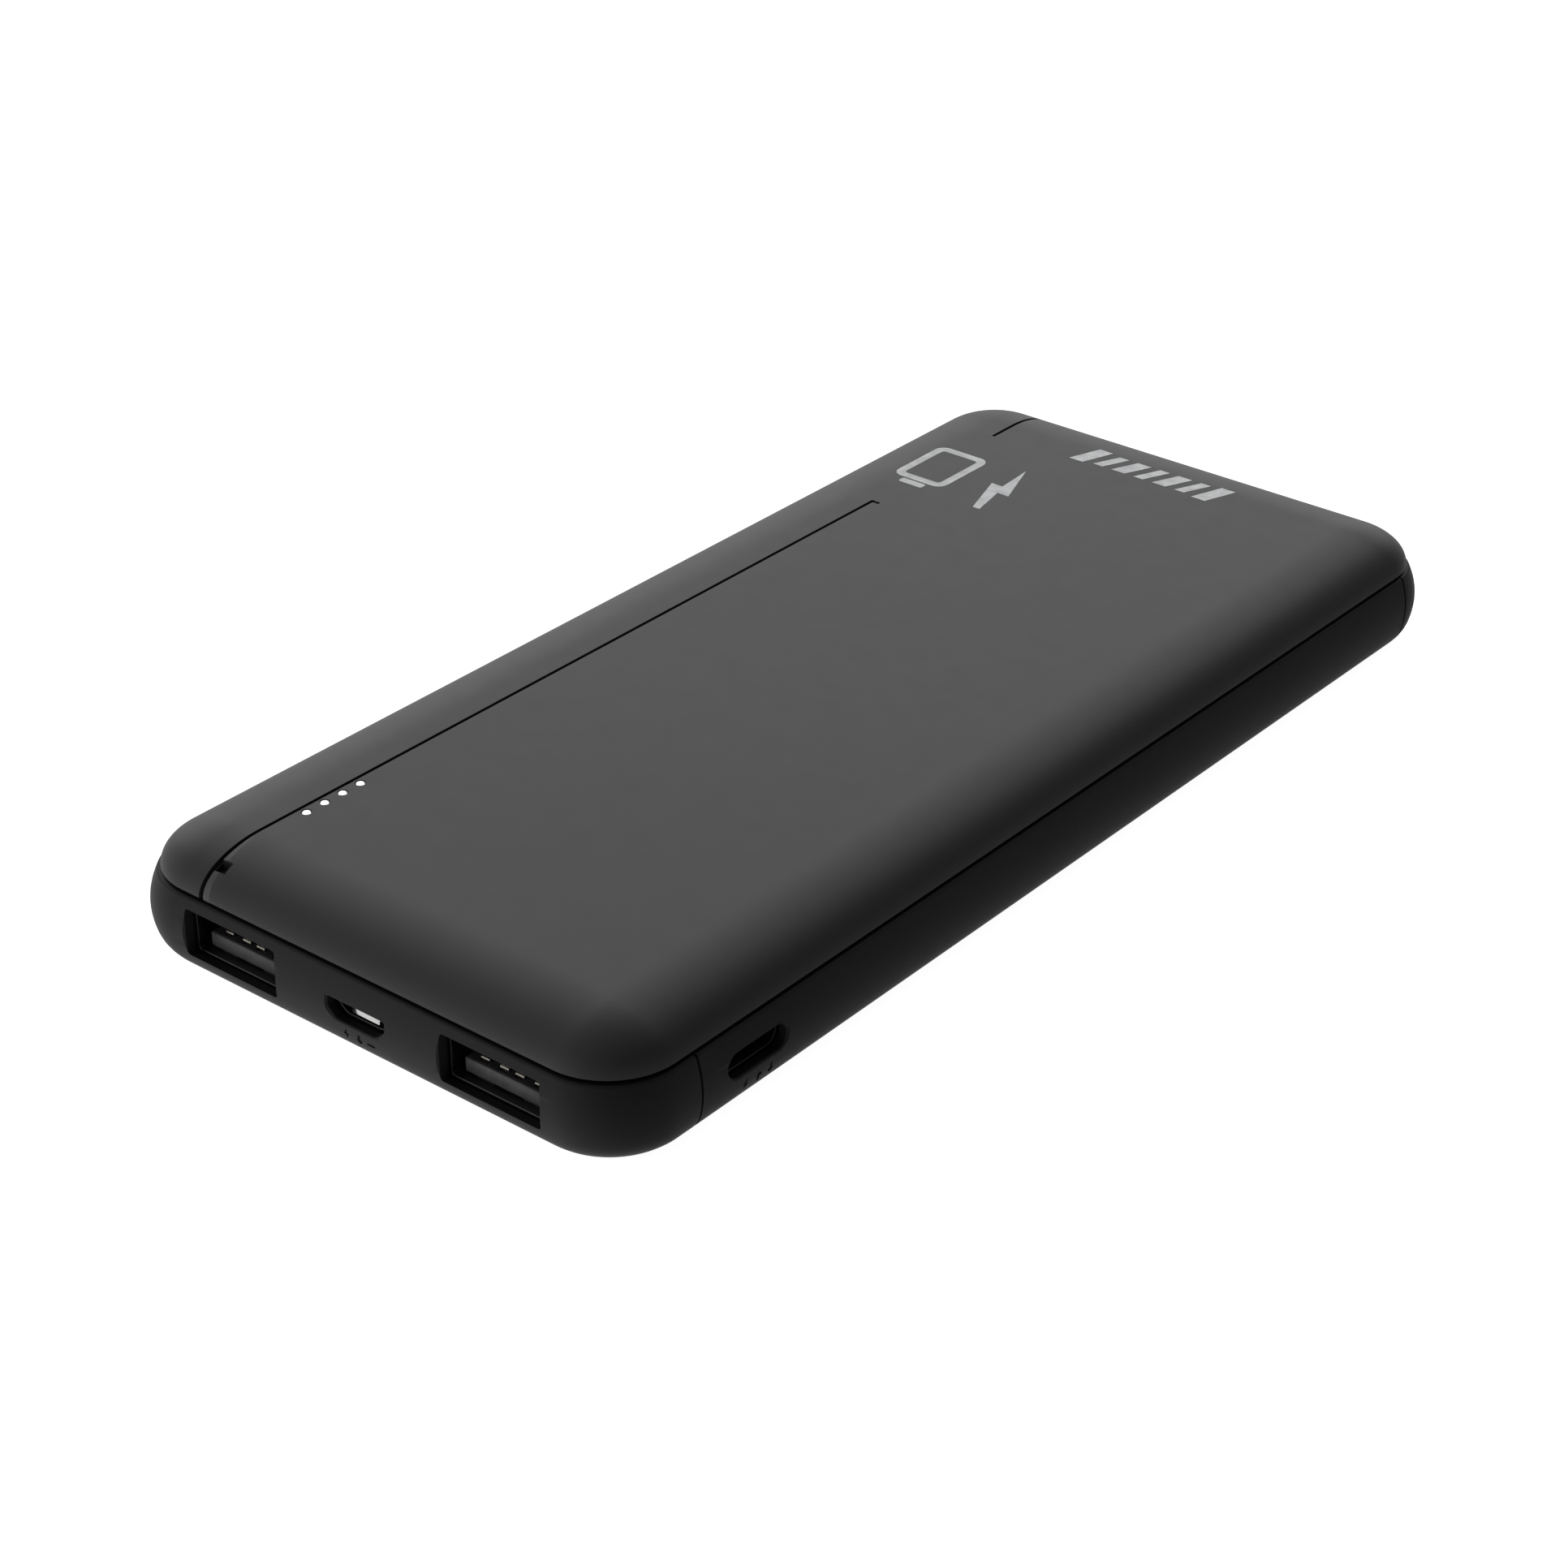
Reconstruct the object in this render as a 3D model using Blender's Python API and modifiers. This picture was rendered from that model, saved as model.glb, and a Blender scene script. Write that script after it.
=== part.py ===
"""Slim 10 Ah power bank: a pillow-topped case with two USB-A sockets, a micro-USB and a USB-C input.

Metres, +Z up. The origin is under the middle of the case. The port end faces -Y and the USB-C side +X.
"""

import math

import bmesh
import bpy
from mathutils import Matrix, Vector

# ---------------------------------------------------------------- driving dimensions
WIDTH = 0.0670  # across the parting line
LENGTH = 0.1472  # along the parting line
CORNER = 0.0082  # plan radius of the parting line, and of everything outside it
CORNER_LEAST = 0.0006  # where the crown's rounding ends
PARTING_Z = 0.0096
PARTING_GAP = 0.00035

CROWN_RISE = 0.0042  # the top cover over the parting line
CROWN_RUN = 0.0085  # how far in the crown's rounding reaches
BULGE = 0.0010  # how far the side walls swell past the parting line
BULGE_Z = 0.0052
BULGE_REACH = 0.0047  # above and below BULGE_Z, where the swelling would have died away
FOOT_Z = 0.0026  # the bottom edge's rounding starts here
FOOT_INSET = 0.0030  # and ends this far in, on the bottom face
LIP_CHAMFER = 0.00025

WALL = 0.0016
FLOOR = 0.0015
ROOF = 0.0015
GAP = 0.0003  # between neighbours
SNUG = 0.0001  # round a pin or strip that sits in its own recess

FRONT_SEAM_Y = -0.0628
REAR_SEAM_Y = 0.0664

LIP_OUT = WALL + GAP  # the top cover's locating lip, inside the walls
LIP_IN = LIP_OUT + 0.0010
LIP_Z = PARTING_Z - 0.0009

TOP_Z = PARTING_Z + CROWN_RISE
HALF_W = WIDTH / 2
HALF_L = LENGTH / 2
INNER_W = HALF_W - WALL
INNER_L = HALF_L - WALL
ROOF_Z = TOP_Z - ROOF

ARC_STEPS = 7  # facets in a quarter of a plan corner
WALL_STEPS = 6
FOOT_STEPS = 4
CROWN_STEPS = 7
DRAWN = 1000  # flat outlines are drawn this much larger, because a curve's fill drops very short edges
WELD = 1e-6

# ---------------------------------------------------------------- ports
PORT_Z = 0.00545
USB_A_X = 0.0178
USB_A_OPENING = (0.0130, 0.0054)
USB_A_INNER = (0.0125, 0.00512)
USB_A_MOUTH_Y = -0.0730
USB_A_DEPTH = 0.0114
USB_A_TONGUE = (0.0111, 0.0017)
USB_A_TONGUE_Z = 0.0039
USB_A_TONGUE_Y = -0.0720
USB_A_PITCHES = (-0.0035, -0.0010, 0.0010, 0.0035)

MICRO_Z = 0.00515
MICRO_OPENING = (0.0078, 0.0023)
MICRO_MOUTH_Y = -0.0732
MICRO_DEPTH = 0.0052

USB_C_Y = -0.0545
USB_C_Z = 0.0056
USB_C_OPENING = (0.0088, 0.00285)
USB_C_SHELL = (0.00894, 0.00316)
USB_C_MOUTH_X = 0.0331
USB_C_DEPTH = 0.00735

SHEET = 0.0003  # socket shells
SOCKET_POCKET = 0.00035  # clearance round a shell in the case wall
FACE_STOP = 0.0003  # the wall left in front of a shell's mouth

# ---------------------------------------------------------------- board, lights and switch
BOARD_LOW = Vector((-0.0296, -0.0714, 0.0074))
BOARD_HIGH = Vector((0.0296, -0.0460, 0.0084))
SCREW_PLACES = ((-0.0273, -0.0478), (0.0273, -0.0478), (0.0, -0.0605))
BOSS_R = 0.0019
BOSS_HOLE_R = 0.00075
BOARD_HOLE_R = 0.0009

GROOVE_X = -0.0225
GROOVE_WIDTH = 0.0005
GROOVE_DEPTH = 0.0005
GROOVE_END_Y = 0.0363
GROOVE_RESTART_Y = 0.0608
HOOK_LENGTH = 0.0011
NOTCH_LOW = Vector((-0.02225, -0.0715, 0.01175))  # the square recess beside the groove's front end
NOTCH_HIGH = Vector((-0.0209, -0.0703, 0.0150))

LIGHT_X = -0.0215
LIGHT_FIRST_Y = -0.05946
LIGHT_PITCH = 0.002575
LIGHT_COUNT = 4
LIGHT_R = 0.00045

BUTTON_Y = -0.0550
BUTTON_Z = 0.0050
BUTTON_SIZE = (0.0090, 0.0030)
BUTTON_FACE_X = -0.0344
BUTTON_CLEAR = 0.00015
PLUNGER_TIP_X = -0.0304

# ---------------------------------------------------------------- cells
CELL_SIZE = Vector((0.0550, 0.1060, 0.0048))
CELL_Y = 0.0115
LOWER_CELL_Z = 0.00425
UPPER_CELL_Z = 0.0094

for old in list(bpy.data.objects):
    bpy.data.objects.remove(old, do_unlink=True)

PARTS = bpy.data.collections.new("power_bank")
CUTTERS = bpy.data.collections.new("cutters")
bpy.context.scene.collection.children.link(PARTS)
bpy.context.scene.collection.children.link(CUTTERS)


# ---------------------------------------------------------------- materials
def material(name, colour, roughness, metallic=0.0, alpha=1.0):
    made = bpy.data.materials.new(name)
    made.use_nodes = True
    shader = made.node_tree.nodes["Principled BSDF"]
    shader.inputs["Base Color"].default_value = (*colour, 1.0)
    shader.inputs["Roughness"].default_value = roughness
    shader.inputs["Metallic"].default_value = metallic
    shader.inputs["Alpha"].default_value = alpha
    return made


CASE_BLACK = material("case_black", (0.035, 0.035, 0.036), 0.55)
SIDE_BLACK = material("side_black", (0.022, 0.022, 0.023), 0.50)
SOCKET_STEEL = material("socket_steel", (0.62, 0.62, 0.60), 0.30, metallic=1.0)
SOCKET_PLASTIC = material("socket_plastic", (0.10, 0.10, 0.11), 0.50)
CONTACT_GOLD = material("contact_gold", (0.83, 0.65, 0.32), 0.25, metallic=1.0)
BOARD_GREEN = material("board_green", (0.02, 0.16, 0.07), 0.45)
CHIP_BLACK = material("chip_black", (0.02, 0.02, 0.02), 0.60)
INDUCTOR_GREY = material("inductor_grey", (0.14, 0.14, 0.15), 0.70)
CAPACITOR_OCHRE = material("capacitor_ochre", (0.75, 0.50, 0.12), 0.50)
CLEAR_GUIDE = material("clear_guide", (0.92, 0.94, 0.95), 0.15, alpha=0.6)
LED_WHITE = material("led_white", (0.93, 0.92, 0.85), 0.30)
SWITCH_GREY = material("switch_grey", (0.30, 0.30, 0.31), 0.50)
POUCH_FOIL = material("pouch_foil", (0.60, 0.61, 0.62), 0.35, metallic=0.9)
NICKEL = material("nickel", (0.66, 0.63, 0.58), 0.30, metallic=1.0)
TAPE_WHITE = material("tape_white", (0.85, 0.84, 0.80), 0.80)
FOAM_BLACK = material("foam_black", (0.04, 0.04, 0.04), 0.95)
LEAD_RED = material("lead_red", (0.60, 0.03, 0.03), 0.40)
LEAD_BLACK = material("lead_black", (0.02, 0.02, 0.02), 0.40)
SCREW_STEEL = material("screw_steel", (0.55, 0.55, 0.56), 0.35, metallic=1.0)


# ---------------------------------------------------------------- making objects
def add_object(name, mesh, surface=None, location=(0.0, 0.0, 0.0)):
    """A part where it has a surface material, and otherwise a hidden cutter."""
    made = bpy.data.objects.new(name, mesh)
    made.location = location
    if surface is None:
        CUTTERS.objects.link(made)
        made.hide_render = True
        made.display_type = "WIRE"
    else:
        PARTS.objects.link(made)
        mesh.materials.append(surface)
    return made


def mesh_of(bm, name):
    mesh = bpy.data.meshes.new(name)
    bm.to_mesh(mesh)
    bm.free()
    return mesh


def block(name, low, high, surface=None, edge=0.0, steps=1):
    """A box between two corners, its origin in its middle, its edges rounded by a Bevel modifier."""
    low, high = Vector(low), Vector(high)
    bm = bmesh.new()
    bmesh.ops.create_cube(bm, size=1.0)
    bmesh.ops.scale(bm, vec=high - low, verts=bm.verts)
    made = add_object(name, mesh_of(bm, name), surface, (low + high) / 2)
    if edge:
        bevel = made.modifiers.new("edges", "BEVEL")
        bevel.width = edge
        bevel.segments = steps
        bevel.limit_method = "ANGLE"
    return made


def cylinder(name, centre, radius, low_z, high_z, surface=None, sides=20):
    bm = bmesh.new()
    bmesh.ops.create_cone(
        bm,
        cap_ends=True,
        segments=sides,
        radius1=radius,
        radius2=radius,
        depth=high_z - low_z,
    )
    middle = (centre[0], centre[1], (low_z + high_z) / 2)
    return add_object(name, mesh_of(bm, name), surface, middle)


def slug(name, size, depth, radius, location, axis, surface=None, steps=5):
    """A rounded-rectangle prism along X or Y: size is its width and height, depth its length."""
    bm = bmesh.new()
    bmesh.ops.create_cube(bm, size=1.0)
    bmesh.ops.scale(bm, vec=(size[0], size[1], depth), verts=bm.verts)
    uprights = [e for e in bm.edges if abs(e.verts[0].co.z - e.verts[1].co.z) > depth / 2]
    bmesh.ops.bevel(bm, geom=uprights, offset=radius, segments=steps, profile=0.5, affect="EDGES")
    stand_up = Matrix.Rotation(math.pi / 2, 4, "X")
    if axis == "X":
        stand_up = Matrix.Rotation(math.pi / 2, 4, "Z") @ stand_up
    bmesh.ops.transform(bm, matrix=stand_up, verts=bm.verts)
    return add_object(name, mesh_of(bm, name), surface, location)


def outline(name, points, thickness, surface=None, location=(0.0, 0.0, 0.0), turn=(0.0, 0.0, 0.0)):
    """A flat outline given thickness, as a closed mesh that a Boolean can use."""
    curve = bpy.data.curves.new(name, "CURVE")
    curve.dimensions = "2D"
    curve.fill_mode = "BOTH"
    curve.extrude = DRAWN * thickness / 2
    spline = curve.splines.new("POLY")
    spline.points.add(len(points) - 1)
    for point, place in zip(spline.points, points):
        point.co = (DRAWN * place[0], DRAWN * place[1], 0.0, 1.0)
    spline.use_cyclic_u = True
    made = meshed(name, curve, surface, WELD * DRAWN)
    made.data.transform(Matrix.Scale(1 / DRAWN, 4))
    made.rotation_euler = turn
    made.location = location
    return made


def tube(name, points, radius, surface):
    """A round lead through the given points."""
    curve = bpy.data.curves.new(name, "CURVE")
    curve.dimensions = "3D"
    curve.bevel_depth = radius
    curve.bevel_resolution = 2
    curve.use_fill_caps = True
    spline = curve.splines.new("POLY")
    spline.points.add(len(points) - 1)
    for point, place in zip(spline.points, points):
        point.co = (*place, 1.0)
    made = meshed(name, curve, surface, WELD)
    made.data.shade_smooth()
    return made


def meshed(name, curve, surface, weld):
    """The curve as a mesh whose caps are welded to its sides."""
    guide = bpy.data.objects.new(name + "_guide", curve)
    CUTTERS.objects.link(guide)
    depsgraph = bpy.context.evaluated_depsgraph_get()
    mesh = bpy.data.meshes.new_from_object(guide.evaluated_get(depsgraph))
    bm = bmesh.new()
    bm.from_mesh(mesh)
    bmesh.ops.remove_doubles(bm, verts=bm.verts, dist=weld)
    bmesh.ops.recalc_face_normals(bm, faces=bm.faces)
    bm.to_mesh(mesh)
    bm.free()
    mesh.materials.clear()
    bpy.data.objects.remove(guide, do_unlink=True)
    return add_object(name, mesh, surface)


def combine(target, tool, operation="DIFFERENCE"):
    boolean = target.modifiers.new(tool.name, "BOOLEAN")
    boolean.object = tool
    boolean.operation = operation
    boolean.solver = "EXACT"


def smooth(made, angle=35):
    made.data.shade_smooth()
    made.data.set_sharp_from_angle(angle=math.radians(angle))


# ---------------------------------------------------------------- the case's shape
def plan_ring(offset, z):
    """The parting outline moved out by offset, as points at one height."""
    radius = min(CORNER, max(CORNER + offset, CORNER_LEAST))
    ring = []
    corners = ((1, -1, -90), (1, 1, 0), (-1, 1, 90), (-1, -1, 180))
    for side_x, side_y, first in corners:
        centre_x = side_x * (HALF_W + offset - radius)
        centre_y = side_y * (HALF_L + offset - radius)
        for step in range(ARC_STEPS + 1):
            angle = math.radians(first + 90 * step / ARC_STEPS)
            ring.append(Vector((centre_x + radius * math.cos(angle), centre_y + radius * math.sin(angle), z)))
    return ring


def loft(name, rings, surface=None):
    """Faces between rings that have the same number of points, closed by a flat face at each end."""
    bm = bmesh.new()
    made = [[bm.verts.new(point) for point in ring] for ring in rings]
    count = len(made[0])
    for below, above in zip(made, made[1:]):
        for i in range(count):
            j = (i + 1) % count
            bm.faces.new((below[i], below[j], above[j], above[i]))
    bm.faces.new(list(reversed(made[0])))
    bm.faces.new(made[-1])
    solid = add_object(name, mesh_of(bm, name), surface)
    if surface is not None:
        smooth(solid)
    return solid


def wall_offset(z):
    rise = (z - BULGE_Z) / BULGE_REACH
    return max(0.0, BULGE * (1 - rise * rise))


def lower_rings():
    """The lower case from its bottom face up: a rounded foot, the swelling wall, and a chamfered rim."""
    start = (wall_offset(FOOT_Z), FOOT_Z)
    slope = -2 * BULGE * (FOOT_Z - BULGE_Z) / BULGE_REACH**2
    bend = (start[0] - slope * FOOT_Z, 0.0)
    end = (-FOOT_INSET, 0.0)
    rings = []
    for step in range(FOOT_STEPS):
        t = 1 - step / FOOT_STEPS
        offset = (1 - t) ** 2 * start[0] + 2 * t * (1 - t) * bend[0] + t * t * end[0]
        rings.append(plan_ring(offset, (1 - t) ** 2 * FOOT_Z))
    rim_z = PARTING_Z - PARTING_GAP
    wall_top = rim_z - LIP_CHAMFER
    for step in range(WALL_STEPS + 1):
        z = FOOT_Z + (wall_top - FOOT_Z) * step / WALL_STEPS
        rings.append(plan_ring(wall_offset(z), z))
    rings.append(plan_ring(-LIP_CHAMFER, rim_z))
    return rings


def crown_rings(inset, run, rise):
    """A quarter-ellipse rounding from the parting line up to the flat top."""
    rings = []
    for step in range(CROWN_STEPS + 1):
        angle = math.pi / 2 * step / CROWN_STEPS
        offset = -(inset + run * (1 - math.cos(angle)))
        rings.append(plan_ring(offset, PARTING_Z + rise * math.sin(angle)))
    return rings


def crown_height(from_edge, depth=0.0):
    """The top's height this far in from the parting line, less depth."""
    if from_edge >= CROWN_RUN:
        return TOP_Z - depth
    reach = 1 - from_edge / CROWN_RUN
    return PARTING_Z + CROWN_RISE * math.sqrt(1 - reach * reach) - depth


def lower_case(name, surface, low_y, high_y):
    """One length of the lower case, hollow and open at the top and at its cut ends."""
    made = loft(name, lower_rings(), surface)
    reach = WIDTH
    kept = block(name + "_kept", (-reach, low_y, -reach), (reach, high_y, reach))
    combine(made, kept, "INTERSECT")
    hollow = loft(name + "_hollow", [plan_ring(-WALL, FLOOR), plan_ring(-WALL, TOP_Z)])
    combine(made, hollow)
    return made


# ---------------------------------------------------------------- top cover
def groove_cutter(name, low_y, high_y, over_edge):
    """A strip that follows the top's height along Y, from over the front or rear edge to a stop."""
    margin = 0.0010
    steps = 10
    if over_edge < 0:
        inset = [CROWN_RUN * (1 - math.cos(math.pi / 2 * i / steps)) for i in range(steps + 1)]
        ys = [-HALF_L + value for value in inset] + [high_y]
    else:
        inset = [CROWN_RUN * (1 - math.cos(math.pi / 2 * i / steps)) for i in range(steps, -1, -1)]
        ys = [low_y] + [HALF_L - value for value in inset]
    floor_line = [(y, crown_height(HALF_L - abs(y), GROOVE_DEPTH)) for y in ys]
    if over_edge < 0:
        floor_line[0] = (-HALF_L - margin, floor_line[0][1])
        floor_line[1:1] = [(-HALF_L + GROOVE_DEPTH, floor_line[0][1])]
    else:
        floor_line.insert(-1, (HALF_L - GROOVE_DEPTH, floor_line[-1][1]))
        floor_line[-1] = (HALF_L + margin, floor_line[-1][1])
    roof_line = [(floor_line[-1][0], TOP_Z + margin), (floor_line[0][0], TOP_Z + margin)]
    return outline(
        name,
        floor_line + roof_line,
        GROOVE_WIDTH,
        location=(GROOVE_X, 0.0, 0.0),
        turn=(math.pi / 2, 0.0, math.pi / 2),
    )


def light_places():
    return [LIGHT_FIRST_Y + LIGHT_PITCH * i for i in range(LIGHT_COUNT)]


def make_top_cover():
    outer = [plan_ring(-LIP_OUT, LIP_Z), plan_ring(-LIP_OUT, PARTING_Z)]
    outer += crown_rings(0.0, CROWN_RUN, CROWN_RISE)
    made = loft("top_cover", outer, CASE_BLACK)
    inside = crown_rings(ROOF, CROWN_RUN - ROOF, CROWN_RISE - ROOF)
    first = next(i for i, ring in enumerate(inside) if ring[0].y > -HALF_L + LIP_IN)
    upright = [plan_ring(-LIP_IN, LIP_Z - GAP), plan_ring(-LIP_IN, inside[first - 1][0].z)]
    combine(made, loft("top_hollow", upright + inside[first:]))
    combine(made, groove_cutter("groove_long", 0.0, GROOVE_END_Y, -1))
    combine(made, groove_cutter("groove_short", GROOVE_RESTART_Y, 0.0, 1))
    hook_y = GROOVE_END_Y - GROOVE_WIDTH / 2
    hook = block(
        "groove_hook",
        (GROOVE_X, hook_y - GROOVE_WIDTH / 2, TOP_Z - GROOVE_DEPTH),
        (GROOVE_X + HOOK_LENGTH, hook_y + GROOVE_WIDTH / 2, TOP_Z + GROOVE_DEPTH),
    )
    combine(made, hook)
    combine(made, block("notch", NOTCH_LOW, NOTCH_HIGH))
    for number, y in enumerate(light_places(), 1):
        hole = cylinder(f"light_hole_{number}", (LIGHT_X, y), LIGHT_R + SNUG, ROOF_Z - GAP, TOP_Z + GAP, sides=12)
        combine(made, hole)
    return made


# ---------------------------------------------------------------- lower case pieces
def make_bottom_cover():
    made = lower_case("bottom_cover", SIDE_BLACK, FRONT_SEAM_Y + GAP / 2, REAR_SEAM_Y - GAP / 2)
    for number, (x, y) in enumerate(SCREW_PLACES, 1):
        top = BOARD_LOW.z - GAP
        boss = cylinder(f"boss_{number}", (x, y), BOSS_R, FLOOR - GAP, top)
        combine(made, boss, "UNION")
        hole = cylinder(f"boss_hole_{number}", (x, y), BOSS_HOLE_R, FLOOR + GAP, top + GAP, sides=12)
        combine(made, hole)
    rib_y, rib_half, rib_top = -0.0434, 0.0260, 0.0055
    rib = block("cell_rib", (-rib_half, rib_y - 0.0005, FLOOR - GAP), (rib_half, rib_y + 0.0005, rib_top))
    combine(made, rib, "UNION")
    through = INNER_W + 2 * WALL
    mouth = slug(
        "usb_c_mouth",
        USB_C_OPENING,
        2 * WALL + 2 * BULGE,
        USB_C_OPENING[1] * 0.49,
        (through - WALL, USB_C_Y, USB_C_Z),
        "X",
    )
    combine(made, mouth)
    pocket_size = [side + 2 * SOCKET_POCKET for side in USB_C_SHELL]
    pocket_end = USB_C_MOUTH_X + FACE_STOP
    pocket = slug(
        "usb_c_pocket",
        pocket_size,
        2 * (pocket_end - INNER_W),
        pocket_size[1] * 0.49,
        (INNER_W, USB_C_Y, USB_C_Z),
        "X",
    )
    combine(made, pocket)
    hole_size = [side + 2 * BUTTON_CLEAR for side in BUTTON_SIZE]
    button_hole = slug(
        "button_hole",
        hole_size,
        4 * WALL,
        hole_size[1] * 0.49,
        (-HALF_W, BUTTON_Y, BUTTON_Z),
        "X",
    )
    combine(made, button_hole)
    return made


def add_side_tongues(cap, seam_y, inward):
    """Two strips that lap inside the side walls past the seam: inward is +1 or -1 along Y."""
    low_z, high_z = FLOOR + GAP, LIP_Z - 2 * GAP
    face_x, back_x, anchor_x = INNER_W - 0.0008, INNER_W - 0.0018, INNER_W + GAP
    tip, end, root = 0.0018, -0.0012, -0.0016
    for side in (-1, 1):
        across = sorted((side * face_x, side * back_x))
        along = sorted((seam_y + inward * tip, seam_y + inward * end))
        strip = block(f"{cap.name}_strip_{side}", (across[0], along[0], low_z), (across[1], along[1], high_z))
        combine(cap, strip, "UNION")
        across = sorted((side * anchor_x, side * back_x))
        along = sorted((seam_y - inward * GAP, seam_y + inward * root))
        low = (across[0], along[0], low_z - 2 * GAP)
        high = (across[1], along[1], high_z - GAP)
        combine(cap, block(f"{cap.name}_root_{side}", low, high), "UNION")


def micro_outline(extra=0.0):
    """The micro-USB opening: full width above, its lower corners cut off."""
    half_w = MICRO_OPENING[0] / 2 + extra
    half_h = MICRO_OPENING[1] / 2 + extra
    cut_x, cut_z = 0.0012, 0.0011
    return [
        (-half_w + cut_x, -half_h),
        (half_w - cut_x, -half_h),
        (half_w, -half_h + cut_z),
        (half_w, half_h),
        (-half_w, half_h),
        (-half_w, -half_h + cut_z),
    ]


def micro_prism(name, extra, low_y, high_y, surface=None):
    return outline(
        name,
        micro_outline(extra),
        high_y - low_y,
        surface,
        location=(0.0, (low_y + high_y) / 2, MICRO_Z),
        turn=(math.pi / 2, 0.0, 0.0),
    )


def make_front_end_cap():
    made = lower_case("front_end_cap", SIDE_BLACK, -LENGTH, FRONT_SEAM_Y - GAP / 2)
    add_side_tongues(made, FRONT_SEAM_Y, 1)
    outside = -HALF_L - 2 * BULGE
    inside = -INNER_L + GAP
    for side, word in ((-1, "left"), (1, "right")):
        mouth = slug(
            f"usb_a_{word}_mouth",
            USB_A_OPENING,
            inside - outside,
            0.0004,
            (side * USB_A_X, (inside + outside) / 2, PORT_Z),
            "Y",
            steps=2,
        )
        combine(made, mouth)
        pocket_front = USB_A_MOUTH_Y - FACE_STOP
        pocket = slug(
            f"usb_a_{word}_pocket",
            [side_length + 2 * SHEET + 2 * SOCKET_POCKET for side_length in USB_A_INNER],
            inside - pocket_front,
            0.0004,
            (side * USB_A_X, (inside + pocket_front) / 2, PORT_Z),
            "Y",
            steps=2,
        )
        combine(made, pocket)
    combine(made, micro_prism("micro_mouth", 0.0, outside, inside))
    combine(made, micro_prism("micro_pocket", SOCKET_POCKET, MICRO_MOUTH_Y - FACE_STOP, inside + GAP))
    return made


def make_rear_end_cap():
    made = lower_case("rear_end_cap", SIDE_BLACK, REAR_SEAM_Y + GAP / 2, LENGTH)
    add_side_tongues(made, REAR_SEAM_Y, -1)
    return made


# ---------------------------------------------------------------- sockets
def make_usb_a(word, x):
    outer = [side + 2 * SHEET for side in USB_A_INNER]
    rear_y = USB_A_MOUTH_Y + USB_A_DEPTH
    middle_y = (USB_A_MOUTH_Y + rear_y) / 2
    shell = slug(f"usb_a_{word}_shell", outer, USB_A_DEPTH, 0.0005, (x, middle_y, PORT_Z), "Y", SOCKET_STEEL, steps=2)
    inner_end = rear_y - SHEET
    pocket = slug(
        f"usb_a_{word}_shell_pocket",
        USB_A_INNER,
        inner_end - USB_A_MOUTH_Y + GAP,
        SHEET,
        (x, (inner_end + USB_A_MOUTH_Y - GAP) / 2, PORT_Z),
        "Y",
        steps=2,
    )
    combine(shell, pocket)

    half_w = USB_A_INNER[0] / 2 - SNUG
    half_h = USB_A_INNER[1] / 2 - SNUG
    block_y = inner_end - 0.0026
    insert = block(
        f"usb_a_{word}_insert",
        (x - half_w, block_y, PORT_Z - half_h),
        (x + half_w, inner_end - SNUG, PORT_Z + half_h),
        SOCKET_PLASTIC,
    )
    tongue_low = USB_A_TONGUE_Z - USB_A_TONGUE[1] / 2
    tongue_high = USB_A_TONGUE_Z + USB_A_TONGUE[1] / 2
    tongue = block(
        f"usb_a_{word}_tongue",
        (x - USB_A_TONGUE[0] / 2, USB_A_TONGUE_Y, tongue_low),
        (x + USB_A_TONGUE[0] / 2, block_y + 0.0010, tongue_high),
        edge=0.0002,
    )
    combine(insert, tongue, "UNION")
    for number, pitch in enumerate(USB_A_PITCHES, 1):
        low = Vector((x + pitch - 0.0005, USB_A_TONGUE_Y + 0.0009, tongue_high - 0.0002))
        high = Vector((x + pitch + 0.0005, block_y - 0.0002, tongue_high + 0.0001))
        around = Vector((SNUG, SNUG, SNUG))
        slot = block(f"usb_a_{word}_slot_{number}", low - around, high + around)
        combine(insert, slot)
        block(f"usb_a_{word}_contact_{number}", low, high, CONTACT_GOLD, edge=0.00005)


def make_micro_usb():
    wall = 0.00025
    rear_y = MICRO_MOUTH_Y + MICRO_DEPTH
    shell = micro_prism("micro_usb_shell", 0.0, MICRO_MOUTH_Y, rear_y, SOCKET_STEEL)
    combine(shell, micro_prism("micro_shell_pocket", -wall, MICRO_MOUTH_Y - GAP, rear_y - wall))
    for side in (-1, 1):
        inner_x = side * (MICRO_OPENING[0] / 2 - wall)
        outer_x = side * MICRO_OPENING[0] / 2
        near = sorted((inner_x, outer_x))
        leg = block(
            f"micro_leg_{side}",
            (near[0], MICRO_MOUTH_Y + 0.0024, MICRO_Z + 0.0009),
            (near[1], MICRO_MOUTH_Y + 0.0040, BOARD_LOW.z - SNUG),
        )
        combine(shell, leg, "UNION")
    half_w = MICRO_OPENING[0] / 2 - wall - SNUG
    back = rear_y - wall - SNUG
    insert = block(
        "micro_usb_insert",
        (-half_w, back - 0.0010, MICRO_Z + GAP),
        (half_w, back, MICRO_Z + MICRO_OPENING[1] / 2 - wall - SNUG),
        SOCKET_PLASTIC,
    )
    half_tongue, tongue_low = 0.0019, MICRO_Z - 0.0006
    neck_low = (-half_tongue, back - 0.0008, tongue_low)
    combine(insert, block("micro_neck", neck_low, (half_tongue, back, MICRO_Z + 2 * GAP)), "UNION")
    tongue_front = MICRO_MOUTH_Y + SNUG
    tongue = block("micro_tongue", (-half_tongue, tongue_front, tongue_low), (half_tongue, back - 0.0005, MICRO_Z))
    combine(insert, tongue, "UNION")


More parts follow.
